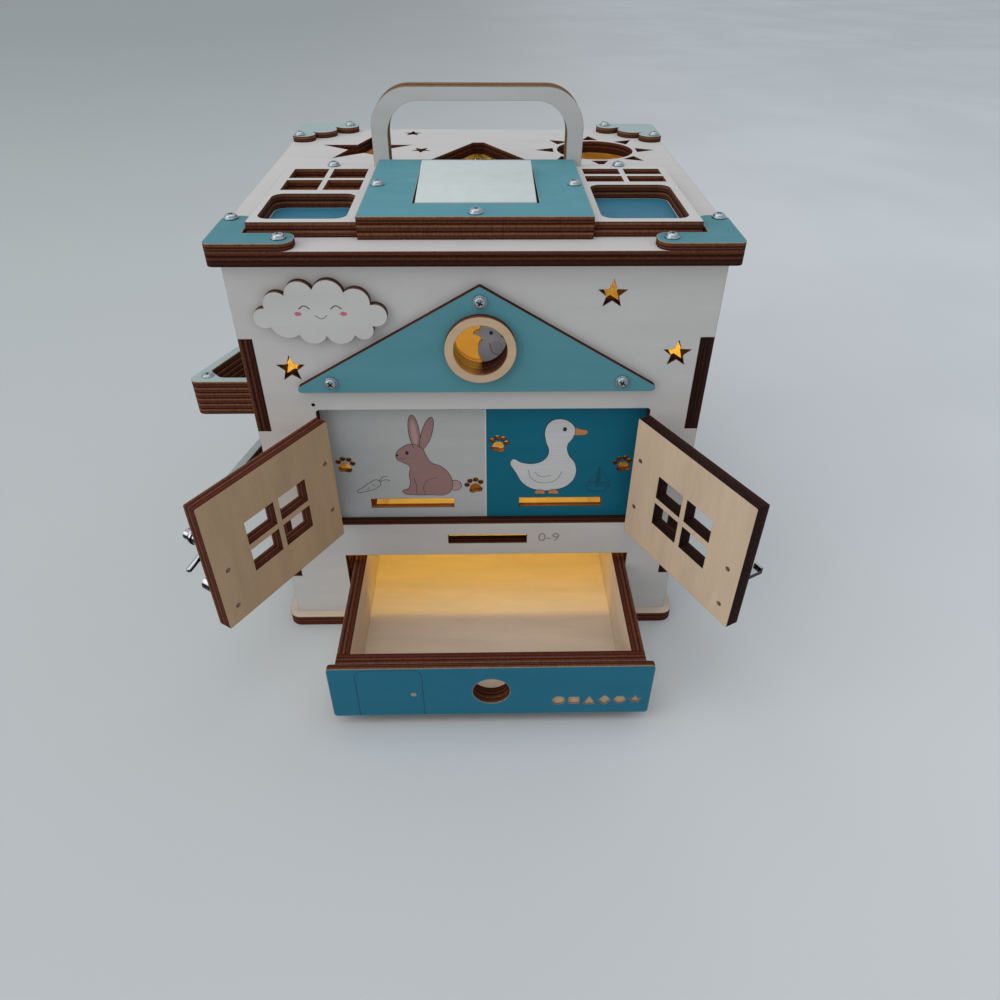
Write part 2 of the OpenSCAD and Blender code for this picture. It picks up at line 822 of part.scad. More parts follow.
// Frames beside the block: outline with its gable at the back
module frame_outline(left) {
    difference() {
        polygon([
            [left, frame_front], [left + frame_w, frame_front], [left + frame_w, frame_back],
            [left + frame_w / 2, frame_back + frame_peak], [left, frame_back]
        ]);
        handle_feet(2 * leg_fit);
        translate([left + frame_w / 2, frame_screw_spot(0).y]) large_bore();
    }
}

module pocket(left, pocket_d) {
    low = [left + pocket_rim, pocket_front];
    rounded_rect(low, [pocket_w, pocket_d], pocket_r);
}

module left_frame(z) {
    left = left_frame_right - frame_w;
    lying(z, sheet) difference() {
        frame_outline(left);
        left_panes();
        pocket(left + left_pocket_shift, left_pocket_d);
    }
}

module right_frame(z) {
    lying(z, sheet) difference() {
        frame_outline(right_frame_left);
        right_panes();
        pocket(right_frame_left, right_pocket_d);
    }
}

module left_frame_lower() {
    color([0.45, 0.28, 0.18]) left_frame(z_roof);
}

module left_frame_upper() {
    color([0.80, 0.81, 0.82]) left_frame(z_roof + sheet);
}

module right_frame_lower() {
    color([0.45, 0.28, 0.18]) right_frame(z_roof);
}

module right_frame_upper() {
    color([0.80, 0.81, 0.82]) right_frame(z_roof + sheet);
}

// Block that carries the switch
module block_outline() {
    difference() {
        translate([block_x - block_w / 2, block_front]) square([block_w, block_d]);
        translate([switch_x - key_hole / 2, pivot_y - key_hole / 2]) square([key_hole, key_hole]);
        for (s = block_screws) translate(s) large_bore();
    }
}

module block_core() {
    color([0.45, 0.28, 0.18]) lying(z_roof, 2 * sheet) block_outline();
}

module block_top() {
    color([0.36, 0.57, 0.61]) lying(z_roof + 2 * sheet, sheet) block_outline();
}

// Switch: flange on the roof, body through it, ears that hold the key's trunnions
module switch_body() {
    color([0.86, 0.87, 0.87]) translate([switch_x, pivot_y, 0]) {
        lying(z_roof - switch_deep, switch_deep) square(switch_w, center = true);
        lying(z_roof, flange_t) square(flange_w, center = true);
        for (m = [0, 1]) mirror([m, 0, 0]) sideways(ear_in, ear_t) difference() {
            union() {
                translate([-ear_d / 2, z_roof + flange_t]) square([ear_d, pivot_up - flange_t]);
                translate([0, pivot_z]) circle(trunnion_r + ear_wall);
            }
            translate([0, pivot_z]) circle(trunnion_r + bore_gap);
        }
    }
}

// Rocker key: face, skirt, and a lug with a trunnion outside each ear
module rocker_key() {
    face_z = key_rise - key_t;
    lug_r = trunnion_r + 1;
    lug_in = ear_in + ear_t + lug_gap;
    color([0.90, 0.91, 0.91]) translate([switch_x, pivot_y, pivot_z]) rotate([key_tilt, 0, 0]) {
        lying(face_z, key_t) square(key_w, center = true);
        lying(face_z - key_skirt, key_skirt) difference() {
            square(key_w, center = true);
            square(key_w - 2 * key_wall, center = true);
        }
        for (m = [0, 1]) mirror([m, 0, 0]) {
            sideways(lug_in, key_lug_t) {
                translate([-lug_r, 0]) square([2 * lug_r, face_z]);
                circle(lug_r);
            }
            sideways(ear_in, lug_in - ear_in) circle(trunnion_r);
        }
    }
}

module lamp() {
    color([1, 0.85, 0.45]) translate([switch_x, pivot_y, z_roof - switch_deep]) {
        translate([0, 0, -lamp_base_h]) cylinder(d = lamp_d, h = lamp_base_h);
        translate([0, 0, -lamp_h]) rotate_extrude() polygon([
            [0, 0], [lamp_d * 0.25, 0], [lamp_d * 0.38, lamp_lens_h * 0.35],
            [lamp_d * 0.43, lamp_lens_h], [0, lamp_lens_h]
        ]);
    }
}

// Battery box: open below, with two bores for the leads in its front
module battery_box() {
    size = [battery_w, battery_d, battery_h];
    color([0.16, 0.16, 0.17]) translate(battery_low) difference() {
        cube(size);
        translate([cover_t, cover_t, -1]) cube(size - [2 * cover_t, 2 * cover_t, cover_t - 1]);
        for (x = leads) translate([battery_w / 2 + x, -1, battery_h - lead_down])
            rotate([-90, 0, 0]) cylinder(r = lead_r + bore_gap, h = cover_t + 2);
    }
}

module battery_cells() {
    cell_z = battery_low.z + cell_d / 2 + cell_gap;
    color([0.72, 0.60, 0.25]) for (row = [-1, 0, 1])
        translate([switch_x - cell_len / 2, battery_y + row * (cell_d + cell_gap), cell_z])
            rotate([0, 90, 0]) cylinder(d = cell_d, h = cell_len);
}

module battery_cover() {
    color([0.20, 0.20, 0.21]) lying(battery_low.z - cover_t, cover_t)
        rounded_rect([battery_low.x, battery_low.y], [battery_w, battery_d], 2);
}

// The two leads run level from the switch's body into the battery box
module switch_leads() {
    from = pivot_y + switch_w / 2;
    to = battery_y - battery_d / 2 + cover_t;
    color([0.70, 0.12, 0.10]) for (x = leads) translate([switch_x + x, from, z_eaves - lead_down])
        rotate([-90, 0, 0]) cylinder(r = lead_r, h = to - from);
}

// Handle: two layers side by side, legs through the roof
module handle_outline() {
    difference() {
        union() {
            rounded_rect([-handle_w / 2, z_roof], [handle_w, handle_h], handle_r);
            translate([-handle_w / 2, z_eaves]) square([handle_w, ply + handle_h - handle_r]);
        }
        rounded_rect(
            [leg_w - handle_w / 2, z_eaves - 2 * handle_inner_r],
            [handle_w - 2 * leg_w, ply + handle_h - bar_t + 2 * handle_inner_r],
            handle_inner_r
        );
    }
}

module handle_front_layer() {
    color([0.80, 0.81, 0.82]) translate([roof_mid_x, 0, 0]) upright(handle_y, ply) handle_outline();
}

module handle_rear_layer() {
    color([0.79, 0.68, 0.53]) translate([roof_mid_x, 0, 0]) upright(handle_y + ply, ply) handle_outline();
}

// Front plates
// Paw-shaped outline: one pad and four toes
module paw() {
    k = paw_w / 8.9;
    scale(k) {
        translate([0, -0.6]) circle(2.3);
        for (m = [-1, 1]) translate([m * 1.5, -1.7]) circle(1.4);
        for (toe = [-1.5, -0.5, 0.5, 1.5])
            rotate(-toe * 40) translate([0, 3.8 - abs(toe) * 0.2]) circle(1.15);
    }
}

module door_lining() {
    color([0.10, 0.33, 0.42]) upright(lining_y, sheet) difference() {
        translate([doorway_left - lining_lap, doorway_z - lining_lap])
            square([doorway_w + 2 * lining_lap, doorway_h + 2 * lining_lap]);
        for (m = [-1, 1])
            translate([lining_x + m * lining_slot_off - lining_slot_w / 2, doorway_z + lining_slot_up])
                square([lining_slot_w, lining_slot_h]);
        for (p = paws) translate([lining_x + p.x, doorway_z + p.y]) rotate(p.z) paw();
    }
}

module gable_plate() {
    color([0.27, 0.49, 0.54]) upright(front - sheet, sheet) difference() {
        translate([gable_x, gable_z]) rounded_polygon(
            [[-gable_w / 2, 0], [gable_w / 2, 0], [gable_lean, gable_h]],
            [gable_foot_r, gable_foot_r, gable_peak_r]
        );
        translate([porthole_x, porthole_z]) circle(porthole_r);
        for (s = gable_bores) translate([gable_x + s.x, gable_z + s.y]) large_bore();
    }
}

module gable_screws() {
    color([0.72, 0.73, 0.74]) for (s = gable_bores)
        translate([gable_x + s.x, front - sheet, gable_z + s.y])
            rotate([90, 0, 0]) large_screw(sheet + ply);
}

module ring_outline() {
    difference() {
        circle(ring_r);
        circle(porthole_r);
    }
}

module porthole_ring() {
    color([0.79, 0.68, 0.53]) upright(front - 2 * sheet, sheet)
        translate([porthole_x, porthole_z]) ring_outline();
}

// Backing behind the porthole with a round-headed bird standing up from its right
module porthole_picture() {
    color([0.60, 0.62, 0.66]) upright(lining_y, sheet) translate([porthole_x, porthole_z]) {
        ring_outline();
        intersection() {
            circle(ring_r);
            union() {
                translate([porthole_r * 0.52, -porthole_r * 0.5]) circle(porthole_r * 0.62);
                translate([porthole_r * 0.38, porthole_r * 0.22]) circle(porthole_r * 0.42);
                polygon([
                    [porthole_r * 0.06, porthole_r * 0.34], [-porthole_r * 0.28, porthole_r * 0.16],
                    [porthole_r * 0.06, porthole_r * 0.06]
                ]);
            }
        }
    }
}

module cloud_plate() {
    k = cloud_w / cloud_drawn_w;
    color([0.82, 0.83, 0.84]) upright(front - sheet, sheet) translate([cloud_x, cloud_z]) {
        for (l = cloud_lobes) translate([l.x, l.y] * k) circle(l.z * k);
        polygon([for (i = [0, 6, 7, 8, 9, 5, 4, 3, 2, 1]) [cloud_lobes[i].x, cloud_lobes[i].y] * k]);
    }
}

// Doors: drawn closed, then swung about their pins
module swing_left() {
    translate([left_pin_x, pin_y, 0]) rotate(-left_open) translate([-left_pin_x, -pin_y, 0]) children();
}

module swing_right() {
    translate([right_pin_x, pin_y, 0]) rotate(right_open) translate([-right_pin_x, -pin_y, 0]) children();
}

// Heights of the hardware's screws above a door's foot, from the pull's plate upwards
function hardware_screw_z(i) = doorway_z + hardware_screws[i];

// Outline of a door whose hinge edge is at x = 0, drawn towards +X
module door_outline() {
    difference() {
        rounded_rect([0, door_z], [door_w, door_h], 0.6);
        translate([window_along, doorway_z + window_up]) difference() {
            square([2 * door_pane_w + door_bar, 2 * door_pane_h + door_bar], center = true);
            square([2 * door_pane_w + door_bar, door_bar], center = true);
            square([door_bar, 2 * door_pane_h + door_bar], center = true);
        }
        for (m = [-1, 1])
            translate([door_screw_along, hinge_z + m * hinge_screw_span / 2])
                small_bore();
        for (i = [0, 1]) translate([hardware_along, hardware_screw_z(i)]) small_bore();
    }
}

module left_door() {
    color([0.79, 0.68, 0.53]) swing_left() upright(door_face, ply) translate([left_edge, 0]) door_outline();
}

module right_door() {
    color([0.79, 0.68, 0.53]) swing_right() upright(door_face, ply)
        translate([right_edge, 0]) mirror([1, 0]) door_outline();
}

// Hinge leaf about a pin at the origin, reaching to +X, its outer face at face_y
module hinge_leaf(face_y, thirds) {
    low = hinge_z - hinge_h / 2;
    difference() {
        union() {
            translate([leaf_relief, face_y - hinge_leaf_t, low])
                cube([hinge_leaf_w - leaf_relief, hinge_leaf_t, hinge_h]);
            for (i = thirds) translate([0, 0, low + i * (knuckle_h + knuckle_gap)]) {
                translate([0, face_y - hinge_leaf_t, 0]) cube([leaf_relief, hinge_leaf_t, knuckle_h]);
                cylinder(r = knuckle_r, h = knuckle_h);
            }
        }
        translate([0, 0, low - 1]) cylinder(r = hinge_pin_r + bore_gap, h = hinge_h + 2);
        for (m = [-1, 1]) translate([leaf_screw_out, face_y + 1, hinge_z + m * hinge_screw_span / 2])
            rotate([90, 0, 0]) cylinder(d = small_shaft_d + 2 * bore_gap, h = hinge_leaf_t + 2, $fn = 32);
    }
}

module at_left_pin() {
    translate([left_pin_x, pin_y, 0]) children();
}

module at_right_pin() {
    translate([right_pin_x, pin_y, 0]) children();
}

module left_wall_leaf() {
    color([0.75, 0.76, 0.78]) at_left_pin() mirror([1, 0, 0]) hinge_leaf(front - pin_y, [0, 2]);
}

module left_door_leaf() {
    color([0.75, 0.76, 0.78]) swing_left() at_left_pin() hinge_leaf(door_face - pin_y, [1]);
}

module right_wall_leaf() {
    color([0.75, 0.76, 0.78]) at_right_pin() hinge_leaf(front - pin_y, [0, 2]);
}

module right_door_leaf() {
    color([0.75, 0.76, 0.78]) swing_right() at_right_pin()
        mirror([1, 0, 0]) hinge_leaf(door_face - pin_y, [1]);
}

module hinge_pins() {
    low = hinge_z - hinge_h / 2;
    color([0.68, 0.69, 0.71]) for (x = [left_pin_x, right_pin_x]) translate([x, pin_y, low]) {
        cylinder(r = hinge_pin_r, h = hinge_h);
        for (z = [-pin_head_h, hinge_h]) translate([0, 0, z]) cylinder(r = pin_head_r, h = pin_head_h);
    }
}

module wall_leaf_screws() {
    leaf_x = [left_pin_x - leaf_screw_out, right_pin_x + leaf_screw_out];
    color([0.72, 0.73, 0.74]) for (x = leaf_x, m = [-1, 1])
        translate([x, front - hinge_leaf_t, hinge_z + m * hinge_screw_span / 2])
            rotate([90, 0, 0]) small_screw(hinge_leaf_t + ply);
}

// Screws of one closed door whose hinge edge is at x = 0 and which reaches to +X
module door_screws() {
    for (m = [-1, 1])
        translate([door_screw_along, door_face - hinge_leaf_t, hinge_z + m * hinge_screw_span / 2])
            rotate([90, 0, 0]) small_screw(hinge_leaf_t + ply);
    for (i = [0, 1])
        translate([hardware_along, door_face - hardware_plate_t, hardware_screw_z(i)])
            rotate([90, 0, 0]) small_screw(hardware_plate_t + ply);
}

module left_door_screws() {
    color([0.72, 0.73, 0.74]) swing_left() translate([left_edge, 0, 0]) door_screws();
}

module right_door_screws() {
    color([0.72, 0.73, 0.74]) swing_right() translate([right_edge, 0, 0]) mirror([1, 0, 0]) door_screws();
}

// Plate on a closed door whose hinge edge is at x = 0, with the bores of its screws
module hardware_plate(h) {
    upright(door_face - hardware_plate_t, hardware_plate_t) difference() {
        translate([hardware_along - hardware_plate_w / 2, doorway_z + plate_foot])
            rounded_rect([0, 0], [hardware_plate_w, h], 1.5);
        for (i = [0, 1]) translate([hardware_along, hardware_screw_z(i)]) small_bore();
    }
}

module latch_plate() {
    color([0.75, 0.76, 0.78]) swing_left() translate([left_edge, 0, 0]) {
        hardware_plate(latch_plate_h);
        translate([hardware_along, door_face, latch_z])
            rotate([90, 0, 0]) cylinder(r = latch_stud_r, h = latch_stud_end);
    }
}

// Latch: a hub on the plate's stud, a neck and an arm below it and a knob in front
module latch_lever() {
    start = hardware_plate_t + latch_run;
    bore_r = latch_stud_r + bore_gap;
    bore_end = latch_stud_end + latch_run;
    neck_root = latch_hub_r - 0.5;
    arm_tip = latch_arm - latch_arm_d / 2;
    color([0.80, 0.81, 0.83]) swing_left() translate([left_edge + hardware_along, door_face, latch_z])
        rotate([90, 0, 0]) {
            rotate_extrude() polygon([
                [bore_r, start], [latch_hub_r, start], [latch_hub_r, latch_hub_end],
                [latch_flange_r, latch_hub_end], [latch_flange_r, latch_hub_end + 1],
                [knob_d / 2 - 0.6, latch_hub_end + 1.4], [knob_d / 2, latch_hub_end + 2.4],
                [knob_d / 2, latch_knob_end - 1], [knob_d / 2 - 1, latch_knob_end],
                [0, latch_knob_end], [0, bore_end], [bore_r, bore_end]
            ]);
            translate([0, -neck_root, arm_off]) rotate([90, 0, 0])
                cylinder(d = latch_arm_d, h = latch_neck - neck_root);
            translate([0, -latch_neck, arm_off]) rotate(-latch_droop) {
                sphere(d = latch_arm_d);
                rotate([0, 90, 0]) cylinder(d = latch_arm_d, h = arm_tip);
                translate([arm_tip, 0, 0]) sphere(d = latch_arm_d);
            }
        }
}

// Keeper: a plate with a stem and an upturned lip that the latch arm drops behind
module keeper_plate() {
    along = door_w - keeper_in - keeper_w / 2;
    color([0.75, 0.76, 0.78]) swing_right() translate([right_edge, 0, 0]) mirror([1, 0, 0]) {
        hardware_plate(keeper_plate_h);
        translate([along - keeper_w / 2, door_face - keeper_end, keeper_stem_z]) {
            cube([keeper_w, keeper_end, keeper_stem_t]);
            cube([keeper_w, keeper_lip_t, keeper_lip_h]);
        }
    }
}

module left_pull() {
    color([0.80, 0.81, 0.83]) swing_left()
        translate([left_edge + hardware_along, door_face - hardware_plate_t, doorway_z + pull_up])
            rotate([90, 0, 0]) rotate_extrude() polygon([
                [0, 0], [pull_d / 2 - 0.4, 0], [pull_d / 2 - 0.4, 0.8], [pull_d / 2 - 0.9, 1.2],
                [pull_d / 2 - 0.9, pull_len * 0.42], [pull_d / 2, pull_len * 0.5],
                [pull_d / 2, pull_len - 1], [pull_d / 2 - 1, pull_len], [0, pull_len]
            ]);
}

module right_pull() {
    color([0.80, 0.81, 0.83]) swing_right()
        translate([right_edge - hardware_along, door_face - hardware_plate_t, doorway_z + rod_up])
            rotate([90, 0, 0]) rotate_extrude() polygon([
                [0, 0], [rod_foot_r, 0], [rod_foot_r, 0.6], [rod_d / 2, 1.4],
                [rod_d / 2, pull_len - 0.5], [rod_d / 2 - 0.5, pull_len], [0, pull_len]
            ]);
}

// Drawer
module panel_shapes() {
    half_h = shape_h / 2;
    half_w = shape_pitch * 0.4;
    for (i = [0:5]) translate([i * shape_pitch, 0]) {
        if (i == 0) circle(half_w);
        if (i == 1) translate([-half_w * 0.85, -half_w * 0.85]) square([half_w * 1.7, half_w * 1.7]);
        if (i == 2) polygon([[-half_w, -half_w], [half_w, -half_w], [0, half_w]]);
        if (i == 3) polygon([[0, -half_h * 0.8], [half_w, 0], [0, half_h * 0.8], [-half_w, 0]]);
        if (i == 4) circle(half_w, $fn = 6);
        if (i == 5) polygon(star_points(half_w * 1.1, star_notch));
    }
}

module drawer_panel() {
    color([0.15, 0.42, 0.50]) difference() {
        upright(box_front - sheet, sheet) difference() {
            rounded_rect([box_x - panel_w / 2, box_z], [panel_w, box_h], panel_corner_r);
            translate([box_x, box_z + finger_hole_up]) circle(finger_hole_r);
        }
        translate([0, -1, 0]) upright(box_front - sheet, shape_sink + 1)
            translate([shapes_x, box_z + shapes_up]) panel_shapes();
    }
}

module drawer_front() {
    color([0.79, 0.68, 0.53]) upright(box_front, ply) difference() {
        translate([box_left, box_z]) square([box_w, box_h]);
        translate([box_x, box_z + finger_hole_up]) circle(finger_hole_r);
    }
}

module drawer_sides() {
    color([0.79, 0.68, 0.53]) for (x = [box_left, box_left + box_w - ply])
        translate([x, box_front + ply, box_z]) cube([ply, drawer_d - ply, box_h]);
}

module drawer_back() {
    color([0.79, 0.68, 0.53])
        translate([box_left + ply, box_front + drawer_d - ply, box_z]) cube([box_w - 2 * ply, ply, box_h]);
}

module drawer_bottom() {
    color([0.82, 0.72, 0.58])
        translate([box_left + ply, box_front + ply, box_z])
            cube([box_w - 2 * ply, drawer_d - 2 * ply, sheet]);
}

module drawer_guides() {
    color([0.60, 0.45, 0.30]) for (x = [box_left - drawer_run - ply, box_left + box_w + drawer_run])
        translate([x, lining_y, z_floor]) cube([ply, drawer_d, guide_h]);
}

// Side trays
// Outline of a tray: square corner on the wall, long side running back to the wall
module tray_outline(tray) {
    difference() {
        rounded_polygon(
            [
                [tray_root - half, tray_front],
                [tray_root - half, tray_front + tray.y * (1 + tray_root / tray.x)],
                tray_point(tray, 0, 0)
            ],
            [0.01, 0.01, tray_corner_r]
        );
        translate([-half, tray_front - tray_root]) square([2 * tray_root, tray.y + 10 * tray_root]);
    }
}

// Outline of the pocket: the tray's shape, moved in by the rim and bent around the screw
module tray_pocket(tray) {
    right = -half - tray_rim;
    far = tray.x - tray_rim - tray_rim / sin(tray_slope(tray));
    rounded_polygon(
        [
            [right, tray_front + tray_rim],
            [right, tray_front + far * tan(tray_slope(tray))],
            tray_point(tray, tray_bend_up, tray_rim),
            [tray_bend_along - half - tray.x, tray_front + tray_rim]
        ],
        [tray_pocket_r, tray_pocket_r, tray_pocket_r, tray_bend_r]
    );
}

function tray_screw_spot(tray) = tray_point(tray, tray_screw_up, tray_screw_side);

module tray_top(tray) {
    color([0.55, 0.71, 0.68]) lying(tray.z - sheet, sheet) difference() {
        tray_outline(tray);
        tray_pocket(tray);
        translate(tray_screw_spot(tray)) large_bore();
    }
}

module tray_stack(tray) {
    floor_z = tray.z - (tray_layers + 1) * sheet;
    color([0.45, 0.28, 0.18]) {
        lying(floor_z, sheet) difference() {
            tray_outline(tray);
            translate(tray_screw_spot(tray)) large_bore();
        }
        lying(floor_z + sheet, (tray_layers - 1) * sheet) difference() {
            tray_outline(tray);
            tray_pocket(tray);
            translate(tray_screw_spot(tray)) large_bore();
        }
        translate([-half - 1, tray_tab_y, tray.z - tray_tab_down - sheet])
            cube([ply + 1, tray_tab_len, sheet]);
    }
}

module upper_tray_top() {
    tray_top(upper_tray);
}

module upper_tray_stack() {
    tray_stack(upper_tray);
}

module lower_tray_top() {
    tray_top(lower_tray);
}

module lower_tray_stack() {
    tray_stack(lower_tray);
}

// The trays' screws have the low heads of the small ones
module tray_screws() {
    color([0.72, 0.73, 0.74]) for (tray = [upper_tray, lower_tray]) {
        spot = tray_screw_spot(tray);
        translate([spot.x, spot.y, tray.z])
            screw(head_d, small_head_h, shaft_d, (tray_layers + 1) * sheet);
    }
}

// Arched plate inside the back wall, held by one bolt whose nut is inside
module arched_plate() {
    color([0.62, 0.64, 0.66]) upright(inner - sheet, sheet) difference() {
        union() {
            translate([0, arch_top - arch_r]) circle(arch_r);
            translate([-arch_r, arch_top - arch_h]) square([2 * arch_r, arch_h - arch_r]);
        }
        translate([0, arch_top - arch_bolt_down]) large_bore();
    }
}

module back_bolt() {
    z = arch_top - arch_bolt_down;
    color([0.72, 0.73, 0.74]) {
        translate([0, half, z]) rotate([-90, 0, 0]) large_screw(ply + sheet + nut_t + bolt_spare);
        translate([0, inner - sheet, z]) rotate([90, 0, 0]) difference() {
            cylinder(d = nut_flats / cos(30), h = nut_t, $fn = 6);
            translate([0, 0, -1]) cylinder(d = shaft_d + 2 * bore_gap, h = nut_t + 2);
        }
    }
}

base_plate();
front_wall();
back_wall();
left_wall();
right_wall();
roof_plate();
door_lining();
gable_plate();
porthole_ring();
porthole_picture();
cloud_plate();
left_frame_lower();
left_frame_upper();
right_frame_lower();
right_frame_upper();
block_core();
block_top();
rocker_key();
switch_body();
lamp();
battery_box();
battery_cells();
battery_cover();
switch_leads();
handle_front_layer();
handle_rear_layer();
left_front_bracket();
right_front_bracket();
left_rear_bracket();
right_rear_bracket();
roof_screws();
gable_screws();
left_door();
right_door();
left_wall_leaf();
left_door_leaf();
right_wall_leaf();
right_door_leaf();
hinge_pins();
wall_leaf_screws();
left_door_screws();
right_door_screws();
latch_plate();
latch_lever();
keeper_plate();
left_pull();
right_pull();
drawer_panel();
drawer_front();
drawer_sides();
drawer_back();
drawer_bottom();
drawer_guides();
upper_tray_top();
upper_tray_stack();
lower_tray_top();
lower_tray_stack();
tray_screws();
arched_plate();
back_bolt();
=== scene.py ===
"""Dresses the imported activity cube: painted and bare plywood, steel fittings, prints and the light inside."""

import json
import logging
import math
import random
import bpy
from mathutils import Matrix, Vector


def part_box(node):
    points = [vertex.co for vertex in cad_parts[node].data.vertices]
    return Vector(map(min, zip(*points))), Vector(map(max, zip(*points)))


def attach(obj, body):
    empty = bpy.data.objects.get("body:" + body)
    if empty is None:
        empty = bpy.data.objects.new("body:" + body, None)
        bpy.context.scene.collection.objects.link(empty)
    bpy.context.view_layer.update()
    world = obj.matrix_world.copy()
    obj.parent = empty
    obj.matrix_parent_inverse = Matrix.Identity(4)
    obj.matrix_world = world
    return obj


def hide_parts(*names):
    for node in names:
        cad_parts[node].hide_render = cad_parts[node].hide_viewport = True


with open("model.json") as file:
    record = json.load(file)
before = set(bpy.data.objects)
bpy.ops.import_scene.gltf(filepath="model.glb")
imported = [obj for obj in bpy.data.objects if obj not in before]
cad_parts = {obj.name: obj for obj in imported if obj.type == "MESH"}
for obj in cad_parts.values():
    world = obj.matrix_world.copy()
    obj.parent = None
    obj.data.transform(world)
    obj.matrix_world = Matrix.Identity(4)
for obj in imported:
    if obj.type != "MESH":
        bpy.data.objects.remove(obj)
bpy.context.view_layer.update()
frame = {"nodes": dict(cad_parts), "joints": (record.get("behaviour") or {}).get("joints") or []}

import zlib
from dataclasses import dataclass, replace
from enum import Enum
from typing import Callable, Iterable, Sequence

import bmesh
import bpy
from mathutils import Matrix, Vector

LOG = logging.getLogger("activity_cube")
MM = 0.001
SHEET = 3 * MM
PLY = 6 * MM
Colour = tuple[float, float, float, float]
Stop = tuple[float, Colour]
Point = tuple[float, float]
Piece = bpy.types.Object
Socket = bpy.types.NodeSocket
Material = bpy.types.Material


def srgb(red: float, green: float, blue: float) -> Colour:
    """Turns a colour as seen on a screen into a linear one.

    Args:
        red: Red from 0 to 255.
        green: Green from 0 to 255.
        blue: Blue from 0 to 255.

    Returns:
        The linear colour with full alpha.
    """

    def linear(level: float) -> float:
        """Turns one channel into a linear share."""
        share = level / 255
        return share / 12.92 if share <= 0.04045 else ((share + 0.055) / 1.055) ** 2.4

    return (linear(red), linear(green), linear(blue), 1.0)


def tones(*rows: tuple[float, float, float, float]) -> tuple[Stop, ...]:
    """Turns rows of place, red, green and blue into the stops of a ramp."""
    return tuple((place, srgb(red, green, blue)) for place, red, green, blue in rows)


def shade(colour: Colour, share: float) -> Colour:
    """Gives a colour made darker or lighter by a share."""
    return (colour[0] * share, colour[1] * share, colour[2] * share, 1.0)


class Coat(Enum):
    """What covers a face of a sheet."""

    BIRCH = srgb(207, 185, 161)
    WARM_BIRCH = srgb(209, 181, 151)
    PALE_BIRCH = srgb(215, 200, 182)
    # Darker birch for the left door's faces: painted shade, as that door's inner face looks away from the light
    TAN_BIRCH = srgb(192, 162, 131)
    WHITE = srgb(207, 205, 204)
    TEAL = srgb(92, 151, 163)
    BRACKET_TEAL = srgb(85, 139, 150)
    PANEL_TEAL = srgb(42, 114, 140)
    LINING_TEAL = srgb(25, 111, 136)
    LINING_GREY = srgb(193, 195, 195)
    POCKET_TEAL = srgb(36, 112, 138)
    MINT = srgb(168, 184, 184)
    GREY = srgb(205, 206, 210)
    BARED = srgb(196, 170, 140)
    AGED = srgb(150, 116, 70)

    @property
    def bare(self) -> bool:
        """Tells whether the wood itself shows."""
        return self.name.endswith("BIRCH") or self in (Coat.BARED, Coat.AGED)


class Burn(Enum):
    """How a laser-cut edge looks across one sheet, from its upper face to its lower."""

    THIN = tones(
        (0.00, 50, 18, 10), (0.10, 96, 56, 40), (0.20, 140, 96, 66), (0.36, 122, 78, 52), (0.46, 96, 54, 40),
        (0.58, 74, 34, 24), (0.72, 108, 66, 50), (0.86, 62, 24, 15), (1.00, 30, 8, 4),
    )  # fmt: skip
    TOPPED = tones(
        (0.00, 186, 156, 124), (0.09, 166, 130, 98), (0.15, 66, 28, 16), (0.26, 124, 80, 54), (0.40, 106, 64, 44),
        (0.48, 60, 24, 14), (0.58, 50, 19, 11), (0.70, 108, 66, 46), (0.86, 66, 28, 17), (1.00, 30, 8, 4),
    )  # fmt: skip
    THICK = tones(
        (0.00, 150, 118, 92), (0.05, 108, 70, 52), (0.20, 98, 54, 40), (0.28, 58, 20, 11), (0.36, 68, 28, 17),
        (0.44, 112, 68, 49), (0.54, 102, 60, 43), (0.62, 60, 22, 12), (0.74, 96, 48, 34), (0.90, 84, 38, 26),
        (1.00, 42, 14, 8),
    )  # fmt: skip
    DEEP = tones(
        (0.00, 120, 88, 68), (0.05, 100, 60, 44), (0.20, 90, 48, 34), (0.28, 38, 13, 8), (0.38, 46, 18, 11),
        (0.46, 98, 56, 40), (0.54, 86, 46, 32), (0.62, 36, 13, 8), (0.76, 64, 31, 23), (0.90, 50, 22, 16),
        (1.00, 26, 9, 6),
    )  # fmt: skip
    NIGHT = tones(
        (0.00, 84, 58, 48), (0.06, 54, 32, 28), (0.28, 48, 27, 24), (0.38, 22, 10, 9), (0.50, 54, 32, 27),
        (0.60, 22, 11, 10), (0.80, 40, 22, 20), (1.00, 16, 7, 7),
    )  # fmt: skip
    LIGHT = tones(
        (0.00, 178, 150, 120), (0.25, 140, 108, 82), (0.45, 104, 74, 56), (0.55, 156, 124, 96), (0.75, 118, 86, 64),
        (1.00, 66, 44, 34),
    )  # fmt: skip


